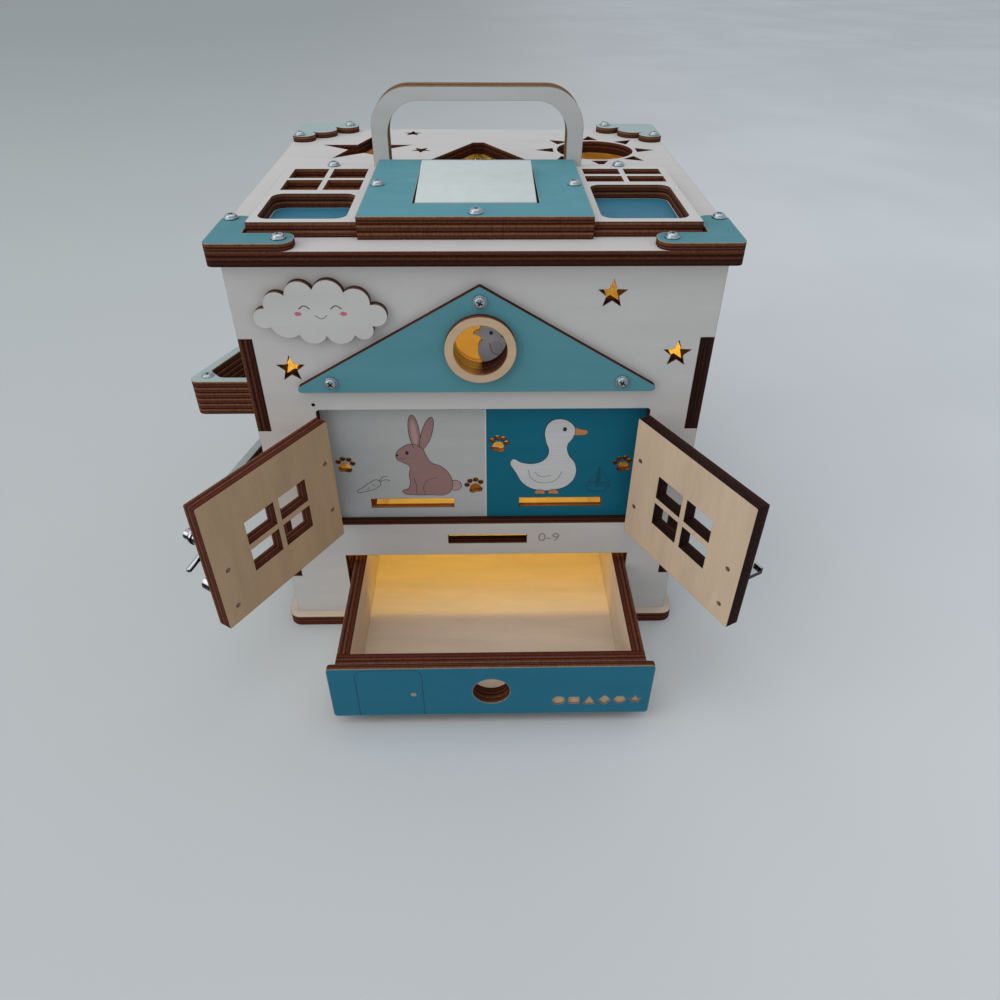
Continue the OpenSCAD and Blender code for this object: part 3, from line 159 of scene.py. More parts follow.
@dataclass(frozen=True)
class Board:
    """How a piece of plywood lies.

    Attributes:
        origin: A point on its back or lower face, in metres.
        depth: Its whole thickness, in metres.
        turn: Degrees about Z from facing the front, for a piece that stands.
        upright: Whether it stands rather than lies.
        sheet: Thickness of each glued sheet, in metres.
        mirrored: Whether it is a pair of boards whose outer faces look apart.
    """

    origin: tuple[float, float, float]
    depth: float
    turn: float = 0.0
    upright: bool = True
    sheet: float = SHEET
    mirrored: bool = False

    @property
    def normal(self) -> Vector:
        """Gives the way that its front or upper face looks."""
        if not self.upright:
            return Vector((0, 0, 1))
        angle = math.radians(self.turn)
        return Vector((math.sin(angle), -math.cos(angle), 0))

    @property
    def rotation(self) -> tuple[float, float, float]:
        """Gives the angles that stand the board's own axes up."""
        return (math.pi / 2, 0, math.radians(self.turn)) if self.upright else (0, 0, 0)

    @classmethod
    def of(cls, node: str, turn: float | None = None, sheet: float = SHEET, mirrored: bool = False) -> "Board":
        """Finds how a node lies from its box.

        Args:
            node: The node's name.
            turn: Degrees about Z for a piece that stands, or None for one that lies.
            sheet: Thickness of each glued sheet, in metres.
            mirrored: Whether the node is a pair of boards.

        Returns:
            The board.
        """
        low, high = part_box(node)
        if turn is None:
            return cls(tuple(low), high.z - low.z, 0, False, sheet, mirrored)
        facing = cls((0, 0, 0), 0, turn).normal
        size = high - low
        depth = abs(facing.x) * size.x + abs(facing.y) * size.y
        middle = (low + high) / 2 - facing * depth / 2
        return cls((middle.x, middle.y, low.z), depth, turn, True, sheet, mirrored)


class Nodes:
    """Shader nodes, added to a tree one after another."""

    def __init__(self, tree: bpy.types.NodeTree) -> None:
        """Empties a tree.

        Args:
            tree: The node tree of a material or a world.
        """
        self.tree = tree
        self.tree.nodes.clear()

    def node(self, kind: str, feeds: dict | None = None, **settings: object) -> bpy.types.Node:
        """Adds a node.

        Args:
            kind: The node's type, without ShaderNode before it.
            feeds: A value or a socket for each input.
            **settings: The node's own settings.

        Returns:
            The node.
        """
        node = self.tree.nodes.new(f"ShaderNode{kind}")
        for key, setting in settings.items():
            setattr(node, key, setting)
        for key, value in (feeds or {}).items():
            if isinstance(value, Socket):
                self.tree.links.new(value, node.inputs[key])
            else:
                node.inputs[key].default_value = value
        return node

    def math(self, operation: str, first: object, second: object = 0.0, clamp: bool = False) -> Socket:
        """Adds a sum of two numbers and returns its result."""
        return self.node("Math", {0: first, 1: second}, operation=operation, use_clamp=clamp).outputs[0]

    def dot(self, first: object, second: object) -> Socket:
        """Adds a dot product and returns its result."""
        return self.node("VectorMath", {0: first, 1: second}, operation="DOT_PRODUCT").outputs["Value"]

    def band(self, value: object, start: float, end: float, low: float = 0.0, high: float = 1.0) -> Socket:
        """Turns the stretch from start to end into one from low to high, with soft ends."""
        feeds = {"Value": value, "From Min": start, "From Max": end, "To Min": low, "To Max": high}
        return self.node("MapRange", feeds, interpolation_type="SMOOTHSTEP").outputs[0]

    def mix(self, share: object, first: object, second: object) -> Socket:
        """Mixes two colours and returns the result."""
        return self.node("Mix", {0: share, 6: first, 7: second}, data_type="RGBA").outputs[2]

    def ramp(self, value: object, stops: Sequence[Stop]) -> Socket:
        """Turns a number into a colour by stops and returns it."""
        node = self.node("ValToRGB", {0: value})
        elements = node.color_ramp.elements
        while len(elements) < len(stops):
            elements.new(0.5)
        for element, (place, colour) in zip(elements, stops):
            element.position = place
            element.color = colour
        return node.outputs[0]


class Shader(Nodes):
    """A material's nodes."""

    def __init__(self, name: str) -> None:
        """Starts a material.

        Args:
            name: The material's name, which also shifts its patterns.
        """
        self.material = bpy.data.materials.new(name)
        self.material.use_nodes = True
        super().__init__(self.material.node_tree)
        self.shift = (zlib.crc32(name.encode()) % 997) / 100

    def pattern(self, vector: object, size: Sequence[float], detail: float = 2.0, roughness: float = 0.5) -> Socket:
        """Adds noise on the piece.

        Args:
            vector: The point on the piece.
            size: Its features' size along the grain, across it and through the sheet, in millimetres.
            detail: How fine its detail is.
            roughness: How strong that detail is.

        Returns:
            Its strength.
        """
        offset = (self.shift, self.shift * 0.7, self.shift * 0.3)
        scale = [1 / (feature * MM) for feature in size]
        place = self.node("Mapping", {"Vector": vector, "Location": offset, "Scale": scale}).outputs[0]
        feeds = {"Vector": place, "Scale": 1.0, "Detail": detail, "Roughness": roughness}
        return self.node("TexNoise", feeds).outputs["Fac"]

    def surface(self, feeds: dict, height: object | None = None, relief: float = 0.0, edge: float = 0.0) -> Material:
        """Ends the material with one surface.

        Args:
            feeds: Values and sockets for the surface's inputs.
            height: The relief's height from 0 to 1, or None.
            relief: How deep the relief is, in metres.
            edge: Radius of soft edges, in metres.

        Returns:
            The material.
        """
        normal = self.node("Bevel", {"Radius": edge}, samples=4).outputs[0] if edge else None
        if height is not None:
            bump = {"Height": height, "Distance": relief, "Strength": 1.0}
            if normal is not None:
                bump["Normal"] = normal
            normal = self.node("Bump", bump).outputs[0]
        if normal is not None:
            feeds = {**feeds, "Normal": normal}
        surface = self.node("BsdfPrincipled", feeds)
        self.node("OutputMaterial", {"Surface": surface.outputs[0]})
        return self.material


@dataclass(frozen=True)
class Rim:
    """The worn rim of a board's faces.

    Attributes:
        tint: Its colour.
        width: How far it reaches on to the face, in metres.
    """

    tint: Colour
    width: float


BROWN_RIM = Rim(srgb(112, 76, 56), 0.42 * MM)
TAN_RIM = Rim(srgb(190, 168, 140), 0.8 * MM)
FACE_FROM = 0.7
SUNK_FROM = 0.3 * MM
SEAM_HALF = 0.25 * MM
SEAM_TINT = srgb(225, 226, 225)
SOOT = srgb(44, 23, 18)
FLECK = srgb(146, 104, 78)


@dataclass(frozen=True)
class PlyFinish:
    """Birch plywood, painted or bare, with laser-browned edges.

    Attributes:
        front: What covers the front or upper face.
        back: What covers the back or lower face.
        burn: How its edges look.
        sunk: What shows where the front face is cut into, or None.
        split: Where another coat begins along the board, in metres, or None.
        past_split: That other coat.
        grain_up: Whether the face grain runs up rather than across.
        rim: The worn rim of its faces.
        rim_share: How strongly that rim shows.
        gloss: Its specular level.
        relief: Depth of its pores and of the marks on its edges, in metres.
        edge: Radius of its soft edges, in metres.
    """

    front: Coat
    back: Coat = Coat.BIRCH
    burn: Burn = Burn.THIN
    sunk: Coat | None = None
    split: float | None = None
    past_split: Coat = Coat.WHITE
    grain_up: bool = False
    rim: Rim = BROWN_RIM
    rim_share: float = 0.7
    gloss: float = 0.1
    relief: float = 0.03 * MM
    edge: float = 0.25 * MM

    def cover(self, node: str, board: Board | None = None, name: str = "") -> None:
        """Dresses a CAD node.

        Args:
            node: The node's name.
            board: How it lies, or None for thin sheet that lies flat.
            name: The material's name, or nothing for the node's name with _ply.
        """
        dress(node, self.material(name or f"{node}_ply", board or Board.of(node)))

    def material(self, name: str, board: Board) -> Material:
        """Makes the material of one board.

        Args:
            name: The material's name.
            board: How the board lies.

        Returns:
            The material.
        """
        shader = Shader(name)
        place = shader.node("TexCoord")
        mapping = {"Vector": place.outputs["Object"], "Location": board.origin, "Rotation": board.rotation}
        local = shader.node("Mapping", mapping, vector_type="TEXTURE").outputs[0]
        parts = shader.node("SeparateXYZ", {0: local})
        facing = shader.dot(place.outputs["Normal"], tuple(board.normal))
        depth = shader.math("SUBTRACT", board.depth, parts.outputs[2])
        if board.mirrored:
            apart = shader.math("ABSOLUTE", shader.math("SUBTRACT", depth, board.depth / 2))
            depth = shader.math("SUBTRACT", board.depth / 2, apart)
        grain = local
        if self.grain_up:
            swap = {0: parts.outputs[1], 1: parts.outputs[0], 2: parts.outputs[2]}
            grain = shader.node("CombineXYZ", swap).outputs[0]
        front = self._face(shader, grain, self.front)
        if self.split is not None:
            across = shader.node("SeparateXYZ", {0: place.outputs["Object"]}).outputs[0]
            past = shader.math("GREATER_THAN", across, self.split)
            front = shader.mix(past, front, self._face(shader, grain, self.past_split))
            seam = shader.math("ABSOLUTE", shader.math("SUBTRACT", across, self.split - SEAM_HALF))
            front = shader.mix(shader.band(seam, SEAM_HALF, 0.6 * SEAM_HALF), front, SEAM_TINT)
        if self.sunk is not None:
            cut = shader.math("GREATER_THAN", depth, SUNK_FROM)
            front = shader.mix(cut, front, self._face(shader, grain, self.sunk))
        back = self._face(shader, grain, self.back) if self.back is not self.front else front
        seen_front = shader.math("GREATER_THAN", facing, FACE_FROM)
        seen_back = shader.math("LESS_THAN", facing, -FACE_FROM)
        colour = shader.mix(seen_front, self._edge(shader, local, depth, board), front)
        colour = shader.mix(seen_back, colour, back)
        flat = shader.math("ADD", seen_front, seen_back, clamp=True)
        rim = shader.math("MULTIPLY", shader.math("MULTIPLY", self._worn(shader), flat), self.rim_share)
        colour = shader.mix(rim, colour, self.rim.tint)
        pores = shader.pattern(grain, (6, 0.25, 0.25), 2)
        kerf = shader.pattern(local, (0.3, 0.3, 4), 1)
        height = shader.node("Mix", {0: flat, 2: kerf, 3: pores}).outputs[0]
        rough = shader.band(shader.pattern(local, (9, 9, 9)), 0.3, 0.7, 0.52, 0.66)
        rough = shader.math("MAXIMUM", rough, shader.math("MULTIPLY", shader.math("SUBTRACT", 1.0, flat), 0.85))
        feeds = {"Base Color": colour, "Roughness": rough, "Specular IOR Level": self.gloss}
        return shader.surface(feeds, height, self.relief, self.edge)

    def _worn(self, shader: Shader) -> Socket:
        """Gives how near a point is to a cut rim, from 0 to 1."""
        soft = shader.node("Bevel", {"Radius": self.rim.width}, samples=4).outputs[0]
        true = shader.node("NewGeometry").outputs["Normal"]
        return shader.band(shader.dot(soft, true), 0.995, 0.85)

    @staticmethod
    def _face(shader: Shader, grain: object, coat: Coat) -> Socket:
        """Gives the colour of a face.

        Args:
            shader: The material's nodes.
            grain: The point on the board, with the grain along its first number.
            coat: What covers the face.

        Returns:
            The colour.
        """
        base = coat.value
        broad = shader.pattern(grain, (60, 9, 9), 3, 0.6)
        fine = shader.pattern(grain, (14, 0.35, 0.35), 3, 0.6)
        if not coat.bare:
            tone = shader.ramp(broad, ((0.25, shade(base, 0.95)), (0.75, shade(base, 1.04))))
            return shader.mix(shader.band(fine, 0.52, 0.8, 0, 0.35), tone, shade(base, 0.86))
        dark = (base[0] * 0.80, base[1] * 0.72, base[2] * 0.60, 1.0)
        light = (base[0] * 1.10, base[1] * 1.10, base[2] * 1.08, 1.0)
        tone = shader.ramp(broad, ((0.25, shade(base, 0.90)), (0.5, base), (0.8, light)))
        tone = shader.mix(shader.band(fine, 0.48, 0.85, 0, 0.5), tone, dark)
        pore = shader.pattern(grain, (2.2, 0.16, 0.16), 1)
        return shader.mix(shader.band(pore, 0.68, 0.8, 0, 0.45), tone, shade(dark, 0.7))

    def _edge(self, shader: Shader, local: object, depth: object, board: Board) -> Socket:
        """Gives the colour of a cut edge.

        Args:
            shader: The material's nodes.
            local: The point on the board.
            depth: How far the point lies below the front face.
            board: How the board lies.

        Returns:
            The colour.
        """
        ragged = shader.pattern(local, (2.5, 2.5, 0.6), 2)
        ragged = shader.math("MULTIPLY", shader.math("SUBTRACT", ragged, 0.5), 0.10)
        sheets = shader.math("DIVIDE", shader.math("SUBTRACT", depth, 0.01 * MM), board.sheet)
        share = shader.math("FRACT", shader.math("MAXIMUM", sheets, 0.0))
        share = shader.math("ADD", share, ragged, clamp=True)
        colour = shader.ramp(share, self.burn.value)
        kerf = shader.pattern(local, (0.35, 0.35, 3), 2)
        colour = shader.mix(shader.band(kerf, 0.40, 0.72, 0, 0.5), colour, SOOT)
        fleck = shader.pattern(local, (1.1, 1.1, 0.22), 2)
        return shader.mix(shader.band(fleck, 0.60, 0.74, 0, 0.3), colour, FLECK)


@dataclass(frozen=True)
class SteelFinish:
    """Plated steel.

    Attributes:
        tint: The plating's colour.
        dull: How matt it is on average.
        relief: Depth of its fine marks, in metres.
        edge: Radius of its soft edges, in metres.
        painted_shade_reach: Reach of the shade painted nearly black into the cross recess and round the head's foot, in
            metres, or 0.
        painted_reflection_band: Whether a dark band of painted reflection is put on its faces that look about level, as
            a polished round piece mirrors the dark room.
    """

    tint: Colour
    dull: float
    relief: float = 0.004 * MM
    edge: float = 0.2 * MM
    painted_shade_reach: float = 0.0
    painted_reflection_band: bool = False

    def material(self, name: str) -> Material:
        """Makes the material.

        Args:
            name: The material's name.

        Returns:
            The material.
        """
        shader = Shader(name)
        texture = shader.node("TexCoord")
        place = texture.outputs["Object"]
        cloudy = shader.pattern(place, (2, 2, 2), 3, 0.6)
        marks = shader.pattern(place, (0.25, 0.25, 0.25), 2)
        colour = shader.ramp(cloudy, ((0.3, shade(self.tint, 0.78)), (0.7, self.tint)))
        if self.painted_reflection_band:
            # Painted reflection: faces that look about level, from just below level to half way up, are darkened to
            # stand for the dark room mirrored in polished chrome
            up = shader.dot(texture.outputs["Normal"], (0, 0, 1))
            below = shader.band(up, -0.25, -0.05)
            above = shader.band(up, 0.62, 0.45)
            colour = shader.mix(shader.math("MULTIPLY", below, above), colour, shade(self.tint, 0.05))
        if self.painted_shade_reach:
            # Painted shade: where an occlusion test finds the surface closed in, as in the cross recess and round the
            # head's foot, the colour goes nearly black
            feeds = {"Color": (1, 1, 1, 1), "Distance": self.painted_shade_reach}
            open_share = shader.node("AmbientOcclusion", feeds, samples=8).outputs["AO"]
            colour = shader.mix(shader.band(open_share, 0.72, 0.42), colour, shade(self.tint, 0.02))
        rough = shader.band(cloudy, 0.3, 0.75, self.dull * 0.7, self.dull * 1.4)
        feeds = {"Base Color": colour, "Metallic": 1.0, "Roughness": rough}
        return shader.surface(feeds, marks, self.relief, self.edge)


@dataclass(frozen=True)
class PlasticFinish:
    """Moulded plastic.

    Attributes:
        tint: Its colour.
        dull: How matt it is on average.
        relief: Depth of its moulded texture, in metres.
        pitch: Size of that texture's features, in millimetres.
    """

    tint: Colour
    dull: float
    relief: float
    pitch: float

    def material(self, name: str) -> Material:
        """Makes the material.

        Args:
            name: The material's name.

        Returns:
            The material.
        """
        shader = Shader(name)
        place = shader.node("TexCoord").outputs["Object"]
        cloudy = shader.pattern(place, (7, 7, 7), 3)
        texture = shader.pattern(place, (self.pitch, self.pitch, self.pitch), 2)
        colour = shader.ramp(cloudy, ((0.3, shade(self.tint, 0.96)), (0.7, shade(self.tint, 1.02))))
        rough = shader.band(cloudy, 0.3, 0.7, self.dull * 0.85, self.dull * 1.15)
        return shader.surface({"Base Color": colour, "Roughness": rough}, texture, self.relief, 0.3 * MM)


@dataclass(frozen=True)
class LensFinish:
    """The frosted lens of the lamp, which glows.

    Attributes:
        tint: The lens's colour.
        glow: How strongly it glows.
    """

    tint: Colour
    glow: float

    def material(self, name: str) -> Material:
        """Makes the material.

        Args:
            name: The material's name.

        Returns:
            The material.
        """
        shader = Shader(name)
        place = shader.node("TexCoord").outputs["Object"]
        frost = shader.pattern(place, (0.8, 0.8, 0.8), 2)
        colour = shader.ramp(frost, ((0.3, shade(self.tint, 0.9)), (0.7, self.tint)))
        feeds = {"Base Color": colour, "Roughness": 0.45, "Emission Color": colour, "Emission Strength": self.glow}
        return shader.surface(feeds, frost, 0.02 * MM, 0.3 * MM)


@dataclass(frozen=True)
class InkFinish:
    """Ink printed on plywood, thin enough for the grain to show.

    Attributes:
        tint: The ink's colour.
    """

    tint: Colour

    def material(self, name: str) -> Material:
        """Makes the material.

        Args:
            name: The material's name.

        Returns:
            The material.
        """
        shader = Shader(name)
        place = shader.node("TexCoord").outputs["Object"]
        grain = shader.pattern(place, (14, 5, 0.4), 3, 0.6)
        colour = shader.ramp(grain, ((0.3, shade(self.tint, 0.9)), (0.7, shade(self.tint, 1.06))))
        pores = shader.pattern(place, (6, 3, 0.25), 2)
        return shader.surface({"Base Color": colour, "Roughness": 0.6}, pores, 0.02 * MM)


class Ink(Enum):
    """The inks of the prints."""

    ROSE = srgb(160, 124, 122)
    ROSE_LIGHT = srgb(186, 152, 148)
    LINE = srgb(58, 44, 46)
    WHITE = srgb(214, 216, 218)
    SEA_LINE = srgb(8, 44, 66)
    ORANGE = srgb(206, 140, 84)
    BLACK = srgb(34, 28, 32)
    PINK = srgb(206, 104, 128)
    SOFT_LINE = srgb(120, 104, 100)
    GREY = srgb(150, 148, 148)
    DOVE = srgb(190, 190, 196)
    DOOR_LINE = srgb(22, 66, 88)
    POCKET = Coat.POCKET_TEAL.value


def set_mode(mode: str) -> None:
    """Changes the active piece's mode."""
    bpy.ops.object.mode_set(mode=mode)


def deselect() -> None:
    """Leaves edit mode and deselects every object."""
    if bpy.context.object and bpy.context.object.mode != "OBJECT":
        set_mode("OBJECT")
    bpy.ops.object.select_all(action="DESELECT")


def take(*pieces: Piece) -> None:
    """Selects pieces alone and makes the first one active."""
    deselect()
    for piece in pieces:
        piece.select_set(True)
    bpy.context.view_layer.objects.active = pieces[0]


def joined(pieces: Sequence[Piece]) -> Piece:
    """Joins pieces into the first one and returns it."""
    take(*pieces)
    if len(pieces) > 1:
        bpy.ops.object.join()
    return pieces[0]


def settle(piece: Piece, place: Matrix | None = None) -> Piece:
    """Puts a piece's place into its mesh.

    Args:
        piece: The piece.
        place: A move to make first, or None.

    Returns:
        The piece, whose object is at the origin.
    """
    take(piece)
    if place is not None:
        piece.matrix_world = place @ piece.matrix_world
        bpy.context.view_layer.update()
    bpy.ops.object.transform_apply(location=True, rotation=True, scale=True)
    return piece


def hand_over(piece: Piece, name: str, body: str, slot: str, material: Material, *instead_of: str) -> None:
    """Names a finished piece, dresses it and puts it on its body.

    Args:
        piece: The finished piece.
        name: Its name.
        body: The body that it rides on.
        slot: The record's material slot; not used.
        material: Its material.
        *instead_of: The nodes that it stands for.
    """
    settle(piece)
    piece.name = name
    piece.data.name = name
    piece.data.materials.clear()
    piece.data.materials.append(material)
    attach(piece, body)
    if instead_of:
        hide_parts(*instead_of)
    LOG.info("%s: %d faces, rides on %s", name, len(piece.data.polygons), body)


def dress(node: str, material: Material) -> None:
    """Gives a CAD node its material.

    Args:
        node: The node's name.
        material: The material.
    """
    mesh = frame["nodes"][node].data
    if not mesh.materials:
        mesh.materials.append(material)
    for place in range(len(mesh.materials)):
        mesh.materials[place] = material
    LOG.info("%s: dressed in %s", node, material.name)


def pick_faces(piece: Piece, test: Callable[[bpy.types.MeshPolygon], bool]) -> None:
    """Enters edit mode with the faces selected that pass a test.

    Args:
        piece: The piece, which is made active.
        test: Tells whether a face is wanted.
    """
    bpy.context.view_layer.objects.active = piece
    set_mode("EDIT")
    bpy.ops.mesh.select_mode(type="FACE")
    bpy.ops.mesh.select_all(action="DESELECT")
    set_mode("OBJECT")
    for face in piece.data.polygons:
        face.select = test(face)
    set_mode("EDIT")


def block(size: Sequence[float], middle: Sequence[float]) -> Piece:
    """Adds a box about a middle.

    Args:
        size: Its size, in metres.
        middle: Its middle, in metres.

    Returns:
        The box, which is active.
    """
    deselect()
    bpy.ops.mesh.primitive_cube_add(size=1, location=middle)
    piece = bpy.context.active_object
    piece.scale = size
    bpy.ops.object.transform_apply(location=True, rotation=False, scale=True)
    return piece


def turned(profile: Sequence[Point], sides: int = 32) -> Piece:
    """Turns a solid piece about Z as on a lathe.

    Args:
        profile: Radius and height of each ring from the bottom up, in metres.
        sides: Number of sides.

    Returns:
        The piece.
    """
    deselect()
    radius, height = profile[0]
    bpy.ops.mesh.primitive_circle_add(vertices=sides, radius=radius, fill_type="NGON", location=(0, 0, height))
    piece = bpy.context.active_object
    bpy.ops.object.transform_apply(location=True)
    set_mode("EDIT")
    bpy.ops.mesh.select_all(action="SELECT")
    for wide, high in profile[1:]:
        bpy.ops.mesh.extrude_region_move(TRANSFORM_OT_translate={"value": (0, 0, high - height)})
        share = wide / radius
        bpy.ops.transform.resize(value=(share, share, 1), center_override=(0, 0, high))
        radius, height = wide, high
    bpy.ops.mesh.select_all(action="SELECT")
    bpy.ops.mesh.normals_make_consistent(inside=False)
    set_mode("OBJECT")
    return piece


def islands(node: str) -> list[list[Vector]]:
    """Finds the separate solids of a CAD node.

    Args:
        node: The node's name.

    Returns:
        The corners of each solid, in metres.
    """
    mesh = bmesh.new()
    mesh.from_mesh(frame["nodes"][node].data)
    bmesh.ops.remove_doubles(mesh, verts=mesh.verts, dist=0.002 * MM)
    left = set(mesh.verts)
    solids = []
    while left:
        open_ends = [left.pop()]
        solid = []
        while open_ends:
            vertex = open_ends.pop()
            solid.append(vertex.co.copy())
            for edge in vertex.link_edges:
                other = edge.other_vert(vertex)
                if other in left:
                    left.remove(other)
                    open_ends.append(other)
        solids.append(solid)
    mesh.free()
    return sorted(solids, key=lambda solid: tuple(round(c, 4) for c in middle_of(solid)))


def span(points: Iterable[Vector]) -> tuple[Vector, Vector]:
    """Gives the lowest and the highest corner of the box round some points."""
    columns = list(zip(*points))
    return Vector([min(column) for column in columns]), Vector([max(column) for column in columns])


def middle_of(points: Iterable[Vector]) -> Vector:
    """Gives the middle of the box round some points."""
    low, high = span(points)
    return (low + high) / 2


def upright_at(way: Vector) -> Matrix:
    """Gives the turn that makes a piece built along Z point another way."""
    return way.to_track_quat("Z", "Y").to_matrix().to_4x4()


@dataclass(frozen=True)
class PanHeadScrew:
    """A cross-recessed pan-head screw.

    Attributes:
        head_r: Radius of its head, in metres.
        head_h: Height of its head, in metres.
        shaft_r: Radius of its shaft, in metres.
        thread: Height of one turn of its thread, in metres.
    """

    head_r: float
    head_h: float
    shaft_r: float
    thread: float = 0.5 * MM

    def build(self, length: float) -> Piece:
        """Builds one screw that points down from the origin, under its head.

        Args:
            length: Length of the shaft, in metres.

        Returns:
            The screw.
        """
        turns = max(2, int((length - 0.4 * MM) / self.thread))
        root = self.shaft_r * 0.84
        profile = [(root * 0.7, -length)]
        for turn in range(turns):
            height = -length + 0.2 * MM + turn * self.thread
            profile += [(root, height), (self.shaft_r, height + self.thread * 0.5)]
        profile += [(self.shaft_r, -0.1 * MM), (self.head_r * 0.95, 0)]
        steps = (
            (1.0, 0.08), (1.0, 0.30), (0.96, 0.38), (0.84, 0.42), (0.81, 0.55), (0.78, 0.72), (0.68, 0.88), (0.5, 0.97),
            (0.15, 1.0),
        )  # fmt: skip
        profile += [(self.head_r * wide, self.head_h * high) for wide, high in steps]
        screw = turned(profile, 32)
        for angle in (0, 90):
            self._recess(screw, angle)
        return screw

    def _recess(self, screw: Piece, angle: float) -> None:
        """Cuts one arm pair of the cross.

        Args:
            screw: The screw.
            angle: Turn of the arms, in degrees.
        """
        depth = self.head_h * 0.7
        cutter = block((self.head_r * 1.16, self.head_r * 0.3, depth * 2), (0, 0, self.head_h))
        cutter.rotation_euler = (0, 0, math.radians(angle))
        pick_faces(cutter, lambda face: face.normal.z < -0.9)
        bpy.ops.transform.resize(value=(0.45, 0.6, 1), center_override=(0, 0, self.head_h - depth))
        set_mode("OBJECT")
        take(screw)
        cut = screw.modifiers.new("recess", "BOOLEAN")
        cut.operation = "DIFFERENCE"
        cut.solver = "EXACT"
        cut.object = cutter
        bpy.ops.object.modifier_apply(modifier=cut.name)
        bpy.data.objects.remove(cutter)

    def fasten(self, node: str, direction: Vector, name: str, body: str, seed: int, material: str) -> None:
        """Puts a screw in each place where a CAD node has one.

        Args:
            node: The node that holds the screws.
            direction: The line along which they lie, either way.
            name: Name of the piece.
            body: The body that it rides on.
            seed: Seed of how far each head is turned.
            material: Name of its material.
        """
        spins = random.Random(seed)
        copies = []
        made: dict[float, Piece] = {}
        for solid in islands(node):
            middle = middle_of(solid)
            ends = [max(solid, key=lambda p, s=sign: s * direction.dot(p)) for sign in (1, -1)]
            tops = [direction.dot(end) for end in ends]
            spread = []
            for top in tops:
                near = [p for p in solid if abs(direction.dot(p) - top) < 0.3 * MM]
                spread.append(max((p - middle - direction * direction.dot(p - middle)).length for p in near))
            up = direction if spread[0] >= spread[1] else -direction
            length = round(abs(tops[0] - tops[1]) - self.head_h, 5)
            if length not in made:
                made[length] = self.build(length)
            seat = middle + up * (abs(tops[0] - tops[1]) / 2 - self.head_h)
            copy = made[length].copy()
            copy.data = made[length].data.copy()
            bpy.context.scene.collection.objects.link(copy)
            spin = Matrix.Rotation(spins.uniform(0, math.pi / 2), 4, "Z")
            copies.append(settle(copy, Matrix.Translation(seat) @ upright_at(up) @ spin))
        for screw in made.values():
            bpy.data.objects.remove(screw)
        piece = joined(copies)
        bpy.ops.object.shade_smooth_by_angle(angle=math.radians(40))
        hand_over(piece, name, body, "zinc_steel", SCREW_ZINC.material(material), node)


class Drawing:
    """Printed shapes on one face, in millimetres, with u to the right and v up.

    Attributes:
        first_height: Height of the lowest patch.
        step: How much thicker each patch is than the one before.
        line_height: Height of a line.
    """

    first_height: float = 0.03
    step: float = 0.006
    line_height: float = 0.22

    def __init__(self, name: str, body: str, slot: str, face: Matrix) -> None:
        """Starts a drawing.

        Args:
            name: Start of the names of its pieces.
            body: The body that they ride on.
            slot: The record's material slot.
            face: Brings u, v and height in metres to the face.
        """
        self.name = name
        self.body = body
        self.slot = slot
        self.face = face
        self.height = self.first_height
        self.pieces: dict[Ink, list[Piece]] = {}

    def _curve(self, points: Sequence[Point], closed: bool, smooth: bool) -> Piece:
        """Draws a line through points.

        Args:
            points: The points, in millimetres.
            closed: Whether it ends where it begins.
            smooth: Whether it bends through the points.

        Returns:
            The curve.
        """
        curve = bpy.data.curves.new(self.name, "CURVE")
        curve.resolution_u = 6
        spline = curve.splines.new("BEZIER")
        spline.bezier_points.add(len(points) - 1)
        for corner, (right, up) in zip(spline.bezier_points, points):
            corner.co = (right * MM, up * MM, 0)
            corner.handle_left_type = corner.handle_right_type = "AUTO" if smooth else "VECTOR"
        spline.use_cyclic_u = closed
        piece = bpy.data.objects.new(self.name, curve)
        bpy.context.scene.collection.objects.link(piece)
        return piece

    def _keep(self, piece: Piece, ink: Ink) -> None:
        """Turns a curve into a mesh and keeps it."""
        take(piece)
        bpy.ops.object.convert(target="MESH")
        self.pieces.setdefault(ink, []).append(bpy.context.active_object)

    def patch(self, points: Sequence[Point], ink: Ink, smooth: bool = True) -> None:
        """Fills an outline, a little thicker than the patch before it.

        Args:
            points: The outline's points, in millimetres.
            ink: The ink.
            smooth: Whether the outline bends through the points.
        """
        piece = self._curve(points, True, smooth)
        piece.data.dimensions = "2D"
        piece.data.fill_mode = "BOTH"
        piece.data.extrude = self.height * MM / 2
        piece.location.z = self.height * MM / 2
        self.height += self.step
        self._keep(piece, ink)

    def stroke(
        self, points: Sequence[Point], ink: Ink, width: float = 0.35, closed: bool = False, smooth: bool = True
    ) -> None:
        """Draws a line of a given width.

        Args:
            points: The points, in millimetres.
            ink: The ink.
            width: Width of the line, in millimetres.
            closed: Whether it ends where it begins.
            smooth: Whether it bends through the points.
        """
        piece = self._curve(points, closed, smooth)
        piece.data.dimensions = "3D"
        piece.data.bevel_depth = width * MM / 2
        piece.data.bevel_resolution = 1
        piece.data.use_fill_caps = True
        piece.scale.z = self.line_height / width
        self._keep(piece, ink)

    def oval(self, middle: Point, wide: float, high: float, ink: Ink, turn: float = 0.0) -> None:
        """Fills an oval by its middle, half its width and height, and its turn."""
        self.patch(ring_points(middle, wide, high, turn), ink)

    def outlined(self, points: Sequence[Point], ink: Ink, line: Ink, width: float = 0.35) -> None:
        """Fills an outline and draws a line round it."""
        self.patch(points, ink)
        self.stroke(points, line, width, closed=True)

    def partly_outlined(self, points: list[Point], ink: Ink, line: Ink, start: int, end: int) -> None:
        """Fills an outline and draws a line along it, past its last point, that leaves out what is covered.

        Args:
            points: The outline's points, in millimetres.
            ink: The ink.
            line: The line's ink.
            start: The point where the line starts.
            end: How many points it passes after the last one.
        """
        self.patch(points, ink)
        self.stroke(points[start:] + points[:end], line)

    def finish(self) -> None:
        """Joins the shapes of each ink and puts them on the face."""
        for ink, pieces in self.pieces.items():
            for piece in pieces:
                settle(piece)
            name = f"{self.name}_{ink.name.lower()}"
            piece = settle(joined(pieces), self.face)
            hand_over(piece, name, self.body, self.slot, InkFinish(ink.value).material(name))


